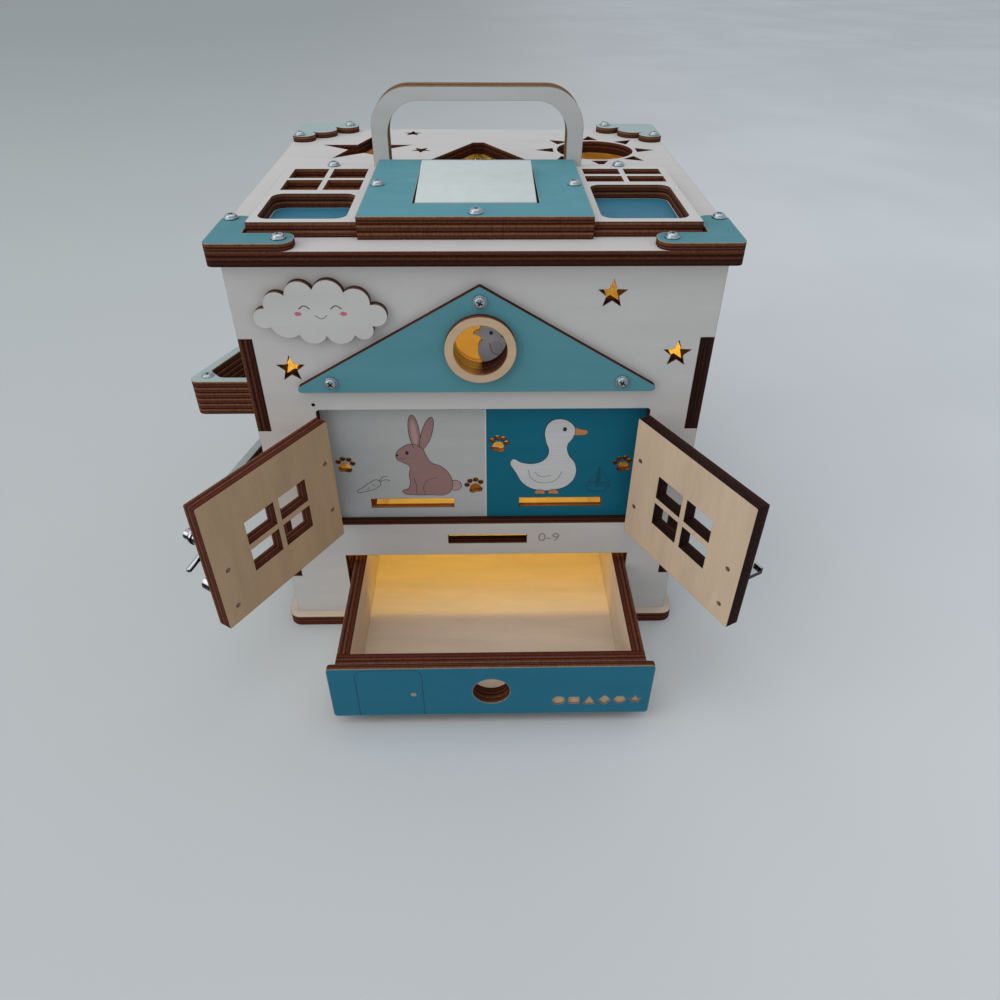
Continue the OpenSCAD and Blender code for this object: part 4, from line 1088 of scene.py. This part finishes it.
def ring_points(middle: Point, wide: float, high: float, turn: float = 0.0, count: int = 12) -> list[Point]:
    """Gives points round an oval.

    Args:
        middle: Its middle.
        wide: Half its width.
        high: Half its height.
        turn: Degrees by which it is turned.
        count: Number of points.

    Returns:
        The points.
    """
    angle = math.radians(turn)
    tilt = (math.cos(angle), math.sin(angle))
    points = []
    for step in range(count):
        around = 2 * math.pi * step / count
        right, up = wide * math.cos(around), high * math.sin(around)
        points.append((middle[0] + right * tilt[0] - up * tilt[1], middle[1] + right * tilt[1] + up * tilt[0]))
    return points


def front_face(depth: float) -> Matrix:
    """Gives the move that lays a drawing on an upright face which looks to the front, at a given y."""
    return Matrix.Translation((0, depth, 0)) @ Matrix.Rotation(math.pi / 2, 4, "X")


ZINC = SteelFinish(srgb(160, 166, 172), 0.3)
SCREW_ZINC = SteelFinish(srgb(168, 178, 183), 0.28, painted_shade_reach=0.8 * MM)
CHROME = SteelFinish(srgb(178, 181, 186), 0.14, painted_reflection_band=True)
ROOF_SCREW = PanHeadScrew(3 * MM, 2 * MM, 1.45 * MM)
TRAY_SCREW = PanHeadScrew(3 * MM, 1.2 * MM, 1.45 * MM)
HINGE_SCREW = PanHeadScrew(2.2 * MM, 1.2 * MM, 1.0 * MM, 0.4 * MM)


@dataclass
class HouseShell:
    """Base, walls and roof."""

    walls: tuple[tuple[str, float, Burn], ...] = (
        ("front_wall", 0, Burn.DEEP),
        ("left_wall", -90, Burn.DEEP),
        ("right_wall", 90, Burn.NIGHT),
        ("back_wall", 180, Burn.DEEP),
    )

    def build(self) -> None:
        """Dresses the shell."""
        for wall, turn, burn in self.walls:
            PlyFinish(Coat.WHITE, burn=burn).cover(wall, Board.of(wall, turn, PLY))
        PlyFinish(Coat.WHITE, burn=Burn.DEEP).cover("roof_plate", Board.of("roof_plate", sheet=PLY), "roof_ply")
        PlyFinish(Coat.PALE_BIRCH, burn=Burn.THICK).cover("base_plate", Board.of("base_plate", sheet=PLY), "base_ply")


@dataclass
class FrontPlates:
    """Gable, porthole, cloud and the printed lining behind the doorway."""

    division_x: float = 3.25
    numerals_at: tuple[float, float, float] = (29.4, 55, 0)
    numerals_size: tuple[float, float, float] = (10.6, 5.4, 0.06)

    def build(self) -> None:
        """Dresses the plates and draws their prints."""
        plates = {
            "gable_plate": PlyFinish(Coat.TEAL, burn=Burn.DEEP),
            "porthole_ring": PlyFinish(Coat.WARM_BIRCH),
            "porthole_picture": PlyFinish(Coat.GREY),
            "cloud_plate": PlyFinish(Coat.WHITE),
            "door_lining": PlyFinish(Coat.LINING_GREY, split=self.division_x * MM, past_split=Coat.LINING_TEAL),
        }
        for node, finish in plates.items():
            finish.cover(node, Board.of(node, 0))
        self._rabbit()
        self._duck()
        self._bird()
        self._cloud_face()
        self._numerals()

    def _rabbit(self) -> None:
        """Draws a rabbit beside a carrot on the lining's grey half."""
        art = Drawing("rabbit_print", "house", "printed_board", front_face(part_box("door_lining")[0].y))
        art.partly_outlined(ring_points((-24.6, 116.5), 2.4, 9.4, -17), Ink.ROSE, Ink.LINE, 11, 8)
        art.partly_outlined(ring_points((-12.2, 86.5), 3.1, 3.1), Ink.ROSE_LIGHT, Ink.LINE, 8, 5)
        body = (
            (-37, 81.6), (-33, 80.9), (-24, 80.8), (-16.5, 81.2), (-13.6, 85), (-14, 91.5), (-18, 97.5), (-23.5, 100.6),
            (-25.6, 105), (-27.5, 109), (-32, 110.9), (-36.6, 109), (-39.6, 105.4), (-39.4, 102.4), (-36, 100),
            (-33.8, 98.4), (-34.2, 93), (-34, 87.5), (-35.4, 84.6), (-38, 83.4),
        )  # fmt: skip
        art.outlined(body, Ink.ROSE, Ink.LINE)
        art.partly_outlined(ring_points((-30.3, 117.2), 2.5, 9.6, 4), Ink.ROSE, Ink.LINE, 10, 9)
        art.oval((-30.3, 117.2), 1.3, 6.8, Ink.ROSE_LIGHT, 4)
        art.oval((-34.4, 105.9), 0.85, 1.05, Ink.BLACK)
        art.oval((-39.2, 104.6), 0.7, 0.6, Ink.BLACK)
        mouth_and_legs = (
            ((-37.9, 102.7), (-36.6, 102.3), (-35.4, 103)),
            ((-27, 81.2), (-27.6, 85.6), (-25, 90), (-20.6, 91.4)),
            ((-31.4, 81.3), (-31, 86), (-32, 91)),
        )
        carrot = ((-60.2, 83), (-56.4, 83.2), (-50.2, 85.6), (-48.4, 88.2), (-50.2, 90.2), (-53.4, 88.8), (-57.6, 85.4))
        leaves_and_marks = (
            ((-48.8, 89.2), (-45.6, 90.2), (-43.8, 89.6)),
            ((-49, 89.6), (-46.8, 92), (-44.8, 92.4)),
            ((-55.2, 84.2), (-54.6, 85.6)),
            ((-52.4, 87.6), (-51.6, 86.4)),
        )
        for line in (*mouth_and_legs, carrot, *leaves_and_marks):
            art.stroke(line, Ink.LINE, 0.3, closed=line is carrot)
        art.finish()

    def _duck(self) -> None:
        """Draws a duck beside a sailing boat on the lining's teal half."""
        art = Drawing("duck_print", "house", "printed_board", front_face(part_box("door_lining")[0].y))
        feet = (
            ((28.4, 83.4), (27, 81.4), (29.4, 80.9), (32.2, 81.2), (30.6, 83.4)),
            ((35, 83.4), (33.8, 81.4), (36.2, 80.9), (39, 81.2), (37.4, 83.4)),
        )
        for foot in feet:
            art.outlined(foot, Ink.ORANGE, Ink.SEA_LINE, 0.3)
        bill = ((44.6, 119.3), (47.4, 118.6), (51, 117.2), (50.4, 115.8), (47, 115.2), (44.6, 115.2))
        art.patch((*bill, (43.4, 117.2)), Ink.ORANGE)
        art.stroke(bill, Ink.SEA_LINE, 0.3)
        body = (
            (37, 124.2), (42, 122.6), (44.9, 118.4), (44, 113.6), (41.8, 109.8), (42.6, 104.4), (46, 99), (46.6, 92),
            (43, 86), (36, 83.3), (28, 83.4), (21.6, 87), (18, 93), (15.6, 101.6), (20.4, 99.8), (26, 99.2),
            (31, 101.4), (33, 106), (31.4, 112), (30.8, 118), (33, 122.6),
        )  # fmt: skip
        art.outlined(body, Ink.WHITE, Ink.SEA_LINE)
        art.oval((40, 118.6), 0.95, 1.2, Ink.BLACK)
        art.stroke(((23.4, 95.6), (25.6, 90), (31.6, 87.6), (37.4, 89.6), (40, 94.4)), Ink.SEA_LINE, 0.3)
        art.stroke(((26.6, 94.2), (30, 91.4), (34.6, 92.2)), Ink.SEA_LINE, 0.3)
        hull = ((52, 86), (64, 86), (61.4, 82.2), (54.6, 82.2))
        mast = ((58, 86), (58, 97))
        sails = ((58.8, 96), (58.8, 87.6), (63.8, 87.6)), ((57.2, 94), (57.2, 87.6), (53.2, 87.6))
        for line in (hull, mast, *sails):
            art.stroke(line, Ink.SEA_LINE, 0.45, closed=line is not mast, smooth=False)
        art.finish()

    def _bird(self) -> None:
        """Draws the bird's eye, beak and wing in the porthole."""
        art = Drawing("bird_print", "house", "grey_board", front_face(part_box("porthole_picture")[0].y))
        art.oval((5.75, 167.2), 0.8, 0.9, Ink.BLACK)
        art.oval((7.95, 160.2), 3.1, 3.4, Ink.DOVE)
        art.stroke(((4.95, 162.6), (6.15, 158.6), (9.55, 156.6)), Ink.LINE, 0.3)
        art.finish()

    def _cloud_face(self) -> None:
        """Draws a plain sleeping face on the cloud."""
        art = Drawing("cloud_print", "house", "white_board", front_face(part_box("cloud_plate")[0].y))
        middle = -63.2
        for side in (-1, 1):
            eye = middle + 6.4 * side
            art.stroke(((eye - 2.2, 182.2), (eye, 183.5), (eye + 2.2, 182.2)), Ink.BLACK, 0.4)
            art.oval((middle + 9.2 * side, 180.1), 1.4, 0.9, Ink.PINK)
        art.stroke(((middle - 2.4, 179.4), (middle, 178), (middle + 2.4, 179.4)), Ink.SOFT_LINE, 0.3)
        art.finish()

    def _numerals(self) -> None:
        """Prints the numerals below the doorway."""
        deselect()
        bpy.ops.object.text_add()
        text = bpy.context.active_object
        text.data.body = "0-9"
        text.data.extrude = 0.05
        bpy.ops.object.convert(target="MESH")
        text = bpy.context.active_object
        low, high = span(vertex.co for vertex in text.data.vertices)
        scale = [want * MM / have for want, have in zip(self.numerals_size, high - low)]
        corner = Vector(self.numerals_at) * MM
        place = Matrix.Translation(corner) @ Matrix.Diagonal((*scale, 1)) @ Matrix.Translation(-low)
        settle(text, front_face(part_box("front_wall")[0].y) @ place)
        hand_over(text, "numerals", "house", "white_board", InkFinish(Ink.GREY.value).material("numerals_ink"))


@dataclass
class Doors:
    """The two doors with their hinges, latch and pulls."""

    recess: float = 0.2 * MM
    sides: tuple[tuple[str, Coat, Burn, int], ...] = (
        # The left door's darker birch is painted shade, since its inner face looks away from the light
        ("left", Coat.TAN_BIRCH, Burn.THICK, 11),
        ("right", Coat.BIRCH, Burn.NIGHT, 12),
    )
    mark_steel: SteelFinish = SteelFinish(srgb(150, 132, 116), 0.5)

    def _board(self, side: str) -> Board:
        """Finds how a door lies at rest.

        Args:
            side: The door's side.

        Returns:
            Its board.
        """
        joint = next(j for j in frame["joints"] if j["name"] == f"{side}_door_swing")
        low, high = joint["range_deg"]
        turn = -high if side == "left" else -low
        pin = Vector(joint["pos_m"])
        wall_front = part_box("front_wall")[0].y
        inner = Vector((0, wall_front - self.recess + PLY - pin.y, 0))
        foot = pin + Matrix.Rotation(math.radians(turn), 3, "Z") @ inner
        return Board((foot.x, foot.y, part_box(f"{side}_door")[0].z), PLY, turn, True, PLY)

    def build(self) -> None:
        """Dresses the doors and builds their screws."""
        for side, coat, burn, seed in self.sides:
            board = self._board(side)
            PlyFinish(coat, coat, burn, grain_up=True).cover(f"{side}_door", board)
            name = f"{side}_door_screw"
            HINGE_SCREW.fasten(f"{name}s", board.normal, f"{name}_set", f"{side}_door", seed, f"{name}_zinc")
            self._screw_marks(side, board)
        for node in ("left_wall_leaf", "left_door_leaf", "right_wall_leaf", "right_door_leaf", "hinge_pins"):
            dress(node, ZINC.material(f"{node}_zinc"))
        for node in ("latch_plate", "latch_lever", "keeper_plate", "left_pull", "right_pull"):
            dress(node, CHROME.material(f"{node}_chrome"))
        HINGE_SCREW.fasten("wall_leaf_screws", Vector((0, 1, 0)), "wall_screws", "house", 5, "wall_screw_zinc")

    def _screw_marks(self, side: str, board: Board) -> None:
        """Builds the ends of the screws that show on a door's inner face.

        Args:
            side: The door's side.
            board: How it lies.
        """
        marks = []
        inner = board.normal.dot(Vector(board.origin))
        for solid in islands(f"{side}_door_screws"):
            middle = middle_of(solid)
            deselect()
            bpy.ops.mesh.primitive_cylinder_add(vertices=20, radius=1 * MM, depth=0.12 * MM)
            mark = bpy.context.active_object
            pick_faces(mark, lambda face: face.normal.z > 0.9)
            bpy.ops.mesh.inset(thickness=0.3 * MM)
            bpy.ops.mesh.inset(thickness=0.25 * MM, depth=-0.05 * MM)
            set_mode("OBJECT")
            back = -board.normal
            seat = middle + board.normal * (inner - board.normal.dot(middle)) + back * 0.04 * MM
            marks.append(settle(mark, Matrix.Translation(seat) @ upright_at(back)))
        finish = self.mark_steel.material(f"{side}_door_mark_steel")
        hand_over(joined(marks), f"{side}_door_screw_ends", f"{side}_door", "zinc_steel", finish)


@dataclass
class Drawer:
    """The drawer's panel, box and guides."""

    def build(self) -> None:
        """Dresses the drawer and draws the door on its panel."""
        pale = PlyFinish(Coat.PALE_BIRCH, Coat.PALE_BIRCH)
        panel = PlyFinish(Coat.PANEL_TEAL, burn=Burn.TOPPED, sunk=Coat.BARED, rim=TAN_RIM)
        panel.cover("drawer_panel", Board.of("drawer_panel", 0))
        PlyFinish(Coat.WARM_BIRCH, Coat.WARM_BIRCH, Burn.THICK).cover("drawer_front", Board.of("drawer_front", 0, PLY))
        PlyFinish(Coat.WARM_BIRCH, Coat.AGED, Burn.THICK).cover("drawer_back", Board.of("drawer_back", 180, PLY))
        replace(pale, burn=Burn.THICK).cover("drawer_sides", Board.of("drawer_sides", 90, PLY, True))
        pale.cover("drawer_bottom")
        PlyFinish(Coat.BIRCH, Coat.BIRCH, Burn.THICK).cover("drawer_guides", Board.of("drawer_guides", 90, PLY, True))
        art = Drawing("panel_print", "drawer", "teal_board", front_face(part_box("drawer_panel")[0].y))
        arch = (
            (-57.5, 6.9), (-57.5, 34.5), (-56.9, 36.9), (-55.2, 38.4), (-53, 38.9), (-31.5, 38.9), (-29.3, 38.4),
            (-27.6, 36.9), (-27, 34.5), (-27, 6.9),
        )  # fmt: skip
        art.stroke(arch, Ink.DOOR_LINE, 0.4, smooth=False)
        art.outlined(ring_points((-31.4, 21.7), 1.6, 1.6), Ink.GREY, Ink.DOOR_LINE, 0.4)
        art.finish()


@dataclass
class RoofTop:
    """Block, rocker, frames, brackets and handle."""

    tilt: float = 4.7
    key_w: float = 50 * MM
    key_face: float = 6.5 * MM
    key_t: float = 2.5 * MM
    skirt: float = 3.5 * MM
    wall: float = 2 * MM
    ear_in: float = 17 * MM
    lug_in: float = 20.3 * MM
    lug_t: float = 2.5 * MM
    trunnion_r: float = 1.5 * MM
    groove_at: float = 16.5 * MM
    groove_w: float = 0.35 * MM
    groove_d: float = 0.15 * MM

    def build(self) -> None:
        """Dresses the plates and builds the rocker key, screws and pocket paint."""
        PlyFinish(Coat.TEAL, burn=Burn.TOPPED, rim=TAN_RIM).cover("block_top")
        PlyFinish(Coat.TEAL).cover("block_core")
        for side in ("left", "right"):
            PlyFinish(Coat.WHITE).cover(f"{side}_frame_upper")
            PlyFinish(Coat.WHITE).cover(f"{side}_frame_lower")
            PlyFinish(Coat.BRACKET_TEAL, burn=Burn.TOPPED, rim=TAN_RIM).cover(f"{side}_front_bracket")
            PlyFinish(Coat.MINT).cover(f"{side}_rear_bracket")
        handle = PlyFinish(Coat.WHITE, Coat.WHITE, Burn.LIGHT)
        for layer, turn in (("front", 0), ("rear", 180)):
            node = f"handle_{layer}_layer"
            handle.cover(node, Board.of(node, turn, PLY), f"handle_{layer}_ply")
        for node, up in (("roof_screws", Vector((0, 0, 1))), ("gable_screws", Vector((0, -1, 0)))):
            ROOF_SCREW.fasten(node, up, f"{node}_set", "house", len(node), f"{node}_zinc")
        self._key()
        self._pocket("left_pocket_paint", (-87.9, -52.1), (-84.2, -49.9))
        self._pocket("right_pocket_paint", (50.6, 86.4), (-84.2, -36.6))

    def _key(self) -> None:
        """Builds the rocker key with its skirt, lugs and trunnions."""
        joint = next(j for j in frame["joints"] if j["name"] == "rocker_tilt")
        half = self.key_w / 2
        plate = block((self.key_w, self.key_w, self.key_t), (0, 0, self.key_face - self.key_t / 2))
        pick_faces(plate, lambda face: face.normal.z < -0.9)
        bpy.ops.mesh.inset(thickness=self.wall)
        set_mode("OBJECT")
        within = half - self.wall
        pick_faces(plate, lambda f: f.normal.z < -0.9 and max(abs(f.center.x), abs(f.center.y)) > within)
        bpy.ops.mesh.extrude_region_move(TRANSFORM_OT_translate={"value": (0, 0, -self.skirt)})
        for cut in (self.groove_at, self.groove_at + self.groove_w):
            bpy.ops.mesh.select_all(action="SELECT")
            bpy.ops.mesh.bisect(plane_co=(0, cut, 0), plane_no=(0, 1, 0))
        set_mode("OBJECT")
        groove = self.groove_at + self.groove_w / 2
        pick_faces(plate, lambda f: f.normal.z > 0.9 and abs(f.center.y - groove) < 0.2 * MM)
        bpy.ops.transform.translate(value=(0, 0, -self.groove_d))
        set_mode("OBJECT")
        soften(plate, 0.55 * MM, 3, 50)
        parts = [plate]
        low = self.key_face - self.key_t
        lug_r = self.trunnion_r + 1 * MM
        for side in (-1, 1):
            flank = ((lug_r, 0.2 * MM), (lug_r, self.lug_t - 0.2 * MM))
            lug = turned(((lug_r * 0.9, 0), *flank, (lug_r * 0.9, self.lug_t)), 24)
            across = Matrix.Rotation(side * math.pi / 2, 4, "Y")
            parts.append(settle(lug, Matrix.Translation((side * self.lug_in, 0, 0)) @ across))
            reach = self.lug_in - self.ear_in
            pin = turned(((self.trunnion_r * 0.8, 0), (self.trunnion_r, 0.3 * MM), (self.trunnion_r, reach)), 20)
            parts.append(settle(pin, Matrix.Translation((side * self.ear_in, 0, 0)) @ across))
            arm = block((self.lug_t, 2 * lug_r, low), (side * (self.lug_in + self.lug_t / 2), 0, low / 2))
            soften(arm, 0.2 * MM, 2, 50)
            parts.append(arm)
        key = joined(parts)
        place = Matrix.Translation(joint["pos_m"]) @ Matrix.Rotation(math.radians(self.tilt), 4, "X")
        settle(key, place)
        bpy.ops.object.shade_smooth_by_angle(angle=math.radians(40))
        finish = PlasticFinish(srgb(204, 215, 214), 0.34, 0.002 * MM, 2).material("rocker_white")
        hand_over(key, "rocker_key_moulding", "rocker", "white_plastic", finish, "rocker_key")

    def _pocket(self, name: str, across: Point, deep: Point) -> None:
        """Paints the roof inside a frame's pocket.

        Args:
            name: The piece's name.
            across: Left and right of the pocket, in millimetres.
            deep: Front and back of the pocket, in millimetres.
        """
        inset, radius = 0.45, 4.5
        left, right = across[0] + inset + radius, across[1] - inset - radius
        near, far = deep[0] + inset + radius, deep[1] - inset - radius
        corners = []
        for x, y, start in ((right, far, 0), (left, far, 90), (left, near, 180), (right, near, 270)):
            for step in range(7):
                angle = math.radians(start + step * 15)
                corners.append((x + radius * math.cos(angle), y + radius * math.sin(angle)))
        art = Drawing(name, "house", "white_board", Matrix.Translation((0, 0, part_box("roof_plate")[1].z)))
        art.patch(corners, Ink.POCKET, smooth=False)
        art.finish()


def soften(piece: Piece, width: float, segments: int, angle: float) -> None:
    """Rounds a piece's edges.

    Args:
        piece: The piece.
        width: Width of the rounding, in metres.
        segments: Number of facets.
        angle: Sharpest angle that is left alone, in degrees.
    """
    take(piece)
    round_off = piece.modifiers.new("edges", "BEVEL")
    round_off.width = width
    round_off.segments = segments
    round_off.limit_method = "ANGLE"
    round_off.angle_limit = math.radians(angle)
    round_off.use_clamp_overlap = True
    bpy.ops.object.modifier_apply(modifier=round_off.name)


@dataclass
class Trays:
    """The two triangular trays on the left side."""

    levels: tuple[str, str] = ("upper", "lower")

    def build(self) -> None:
        """Dresses the trays and builds their screws."""
        for level in self.levels:
            for part, burn in (("top", Burn.TOPPED), ("stack", Burn.THIN)):
                PlyFinish(Coat.MINT, Coat.BIRCH, burn).cover(f"{level}_tray_{part}")
        TRAY_SCREW.fasten("tray_screws", Vector((0, 0, 1)), "tray_screw_set", "house", 3, "tray_screw_zinc")


@dataclass
class Inside:
    """Switch, lamp and battery box, and what is fixed to the back wall."""

    def build(self) -> None:
        """Dresses the hidden parts."""
        white = PlasticFinish(srgb(222, 224, 224), 0.4, 0.01 * MM, 0.5)
        black = PlasticFinish(srgb(42, 42, 45), 0.55, 0.03 * MM, 0.4)
        # Pale bluish tint for the arched plate: painted light, made paler and bluer to offset the dim yellow lamp light
        # on it so that it looks grey
        grey = PlasticFinish(srgb(222, 230, 236), 0.5, 0.03 * MM, 0.5)
        red = PlasticFinish(srgb(176, 40, 34), 0.45, 0.01 * MM, 0.3)
        parts = (
            ("switch_body", white, "switch_white"),
            ("battery_box", black, "battery_box_black"),
            ("battery_cover", black, "battery_cover_black"),
            ("arched_plate", grey, "arched_grey"),
            ("switch_leads", red, "lead_red"),
            ("battery_cells", SteelFinish(srgb(196, 170, 96), 0.35), "cell_jacket"),
            ("back_bolt", ZINC, "back_bolt_zinc"),
            ("lamp", LensFinish(srgb(255, 224, 150), 3.0), "lamp_lens"),
        )
        for node, finish, name in parts:
            dress(node, finish.material(name))


@dataclass
class Studio:
    """Camera, lights and floor."""

    camera_mm: tuple[float, float, float] = (3.03, -390.87, 307.42)
    pitch: float = 37.79
    yaw: float = 1.33
    roll: float = -0.33
    lens: float = 27.10
    sky: float = 0.52
    backdrop: float = 0.9
    aim: tuple[float, float, float] = (0, -0.02, 0.1)
    soft_size: float = 1.6
    soft_lights: tuple[tuple[str, tuple[float, float, float], float, Colour], ...] = (
        ("top", (-0.1, -0.3, 1.9), 9.5, srgb(250, 252, 255)),
        ("left", (-1.5, -0.75, 0.9), 12, srgb(255, 249, 242)),
    )
    lamp_power: float = 0.33
    lamp_drop: float = 13 * MM

    def build(self) -> None:
        """Sets up the studio."""
        scene = bpy.context.scene
        scene.view_settings.view_transform = "Standard"
        self._camera(scene)
        self._world(scene)
        self._floor()
        for name, place, power, colour in self.soft_lights:
            light = self._light(name, "AREA", Vector(place), power, colour)
            light.data.size = self.soft_size
            light.rotation_euler = (Vector(self.aim) - light.location).to_track_quat("-Z", "Y").to_euler()
        self._lamp()

    def _camera(self, scene: bpy.types.Scene) -> None:
        """Places the camera where the photograph was taken."""
        pitch, yaw, roll = (math.radians(a) for a in (self.pitch, self.yaw, self.roll))
        ahead = Vector((math.sin(yaw) * math.cos(pitch), math.cos(yaw) * math.cos(pitch), -math.sin(pitch)))
        right = Vector((math.cos(yaw), -math.sin(yaw), 0))
        down = ahead.cross(right)
        across = math.cos(roll) * right + math.sin(roll) * down
        below = -math.sin(roll) * right + math.cos(roll) * down
        turn = Matrix((across, -below, -ahead)).transposed().to_4x4()
        data = bpy.data.cameras.new("camera")
        data.lens = self.lens
        data.sensor_width = 36
        data.clip_start = 0.01
        data.clip_end = 50
        camera = bpy.data.objects.new("camera", data)
        camera.matrix_world = Matrix.Translation(Vector(self.camera_mm) * MM) @ turn
        scene.collection.objects.link(camera)
        scene.camera = camera

    def _world(self, scene: bpy.types.Scene) -> None:
        """Makes a pale background and an even light from all round."""
        world = bpy.data.worlds.new("studio")
        scene.world = world
        world.use_nodes = True
        nodes = Nodes(world.node_tree)
        rays = nodes.node("LightPath").outputs
        seen = nodes.math("MAXIMUM", rays["Is Camera Ray"], rays["Is Glossy Ray"])
        seen = nodes.math("MAXIMUM", seen, rays["Is Transmission Ray"])
        strength = nodes.node("MapRange", {"Value": seen, "To Min": self.sky, "To Max": self.backdrop}).outputs[0]
        up = nodes.node("SeparateXYZ", {0: nodes.node("TexCoord").outputs["Generated"]}).outputs[2]
        colour = nodes.ramp(up, tones((0.0, 196, 204, 208), (0.8, 250, 252, 255)))
        background = nodes.node("Background", {"Color": colour, "Strength": strength})
        nodes.node("OutputWorld", {"Surface": background.outputs[0]})

    def _floor(self) -> None:
        """Lays the pale floor, graded from darker on the left to lighter on the right as painted light that evens out
        the house's shadow.
        """
        deselect()
        bpy.ops.mesh.primitive_plane_add(size=20, location=(0, 0, -0.1 * MM))
        floor = bpy.context.active_object
        floor.name = "floor"
        shader = Shader("floor_grey")
        place = shader.node("TexCoord").outputs["Object"]
        cloudy = shader.pattern(place, (250, 250, 250), 2)
        across = shader.node("SeparateXYZ", {0: place}).outputs[0]
        # Painted light: the floor is darker on the left, where the left lamp lights it most, and lighter on the right,
        # where the house's shadow falls
        stops = tones(
            (0.0, 190, 198, 199), (0.38, 200, 206, 208), (0.5, 206, 211, 214), (0.66, 217, 221, 224),
            (1.0, 231, 239, 243),
        )  # fmt: skip
        colour = shader.ramp(shader.band(across, -0.8, 0.8), stops)
        colour = shader.mix(shader.band(cloudy, 0.3, 0.7, 0, 0.2), colour, srgb(190, 195, 198))
        floor.data.materials.append(shader.surface({"Base Color": colour, "Roughness": 0.7}))

    def _lamp(self) -> None:
        """Lights the house from its lamp."""
        low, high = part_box("lamp")
        middle = (low + high) / 2
        place = Vector((middle.x, middle.y, low.z - self.lamp_drop))
        self._light("lamp_light", "POINT", place, self.lamp_power, srgb(255, 223, 92)).data.shadow_soft_size = 0.01

    @staticmethod
    def _light(name: str, kind: str, place: Vector, power: float, colour: Colour) -> Piece:
        """Adds a light.

        Args:
            name: Its name.
            kind: Its type.
            place: Its place.
            power: Its power, in watts.
            colour: Its colour.

        Returns:
            The light.
        """
        data = bpy.data.lights.new(name, kind)
        data.energy = power
        data.color = colour[:3]
        light = bpy.data.objects.new(name, data)
        light.location = place
        bpy.context.scene.collection.objects.link(light)
        return light


def main() -> None:
    """Builds the sub-assemblies in order."""
    logging.basicConfig(level=logging.INFO, format="%(name)s: %(message)s")
    for part in (HouseShell(), FrontPlates(), Doors(), Drawer(), RoofTop(), Trays(), Inside(), Studio()):
        LOG.info("building %s", type(part).__name__)
        part.build()


if __name__ == "__main__":
    main()
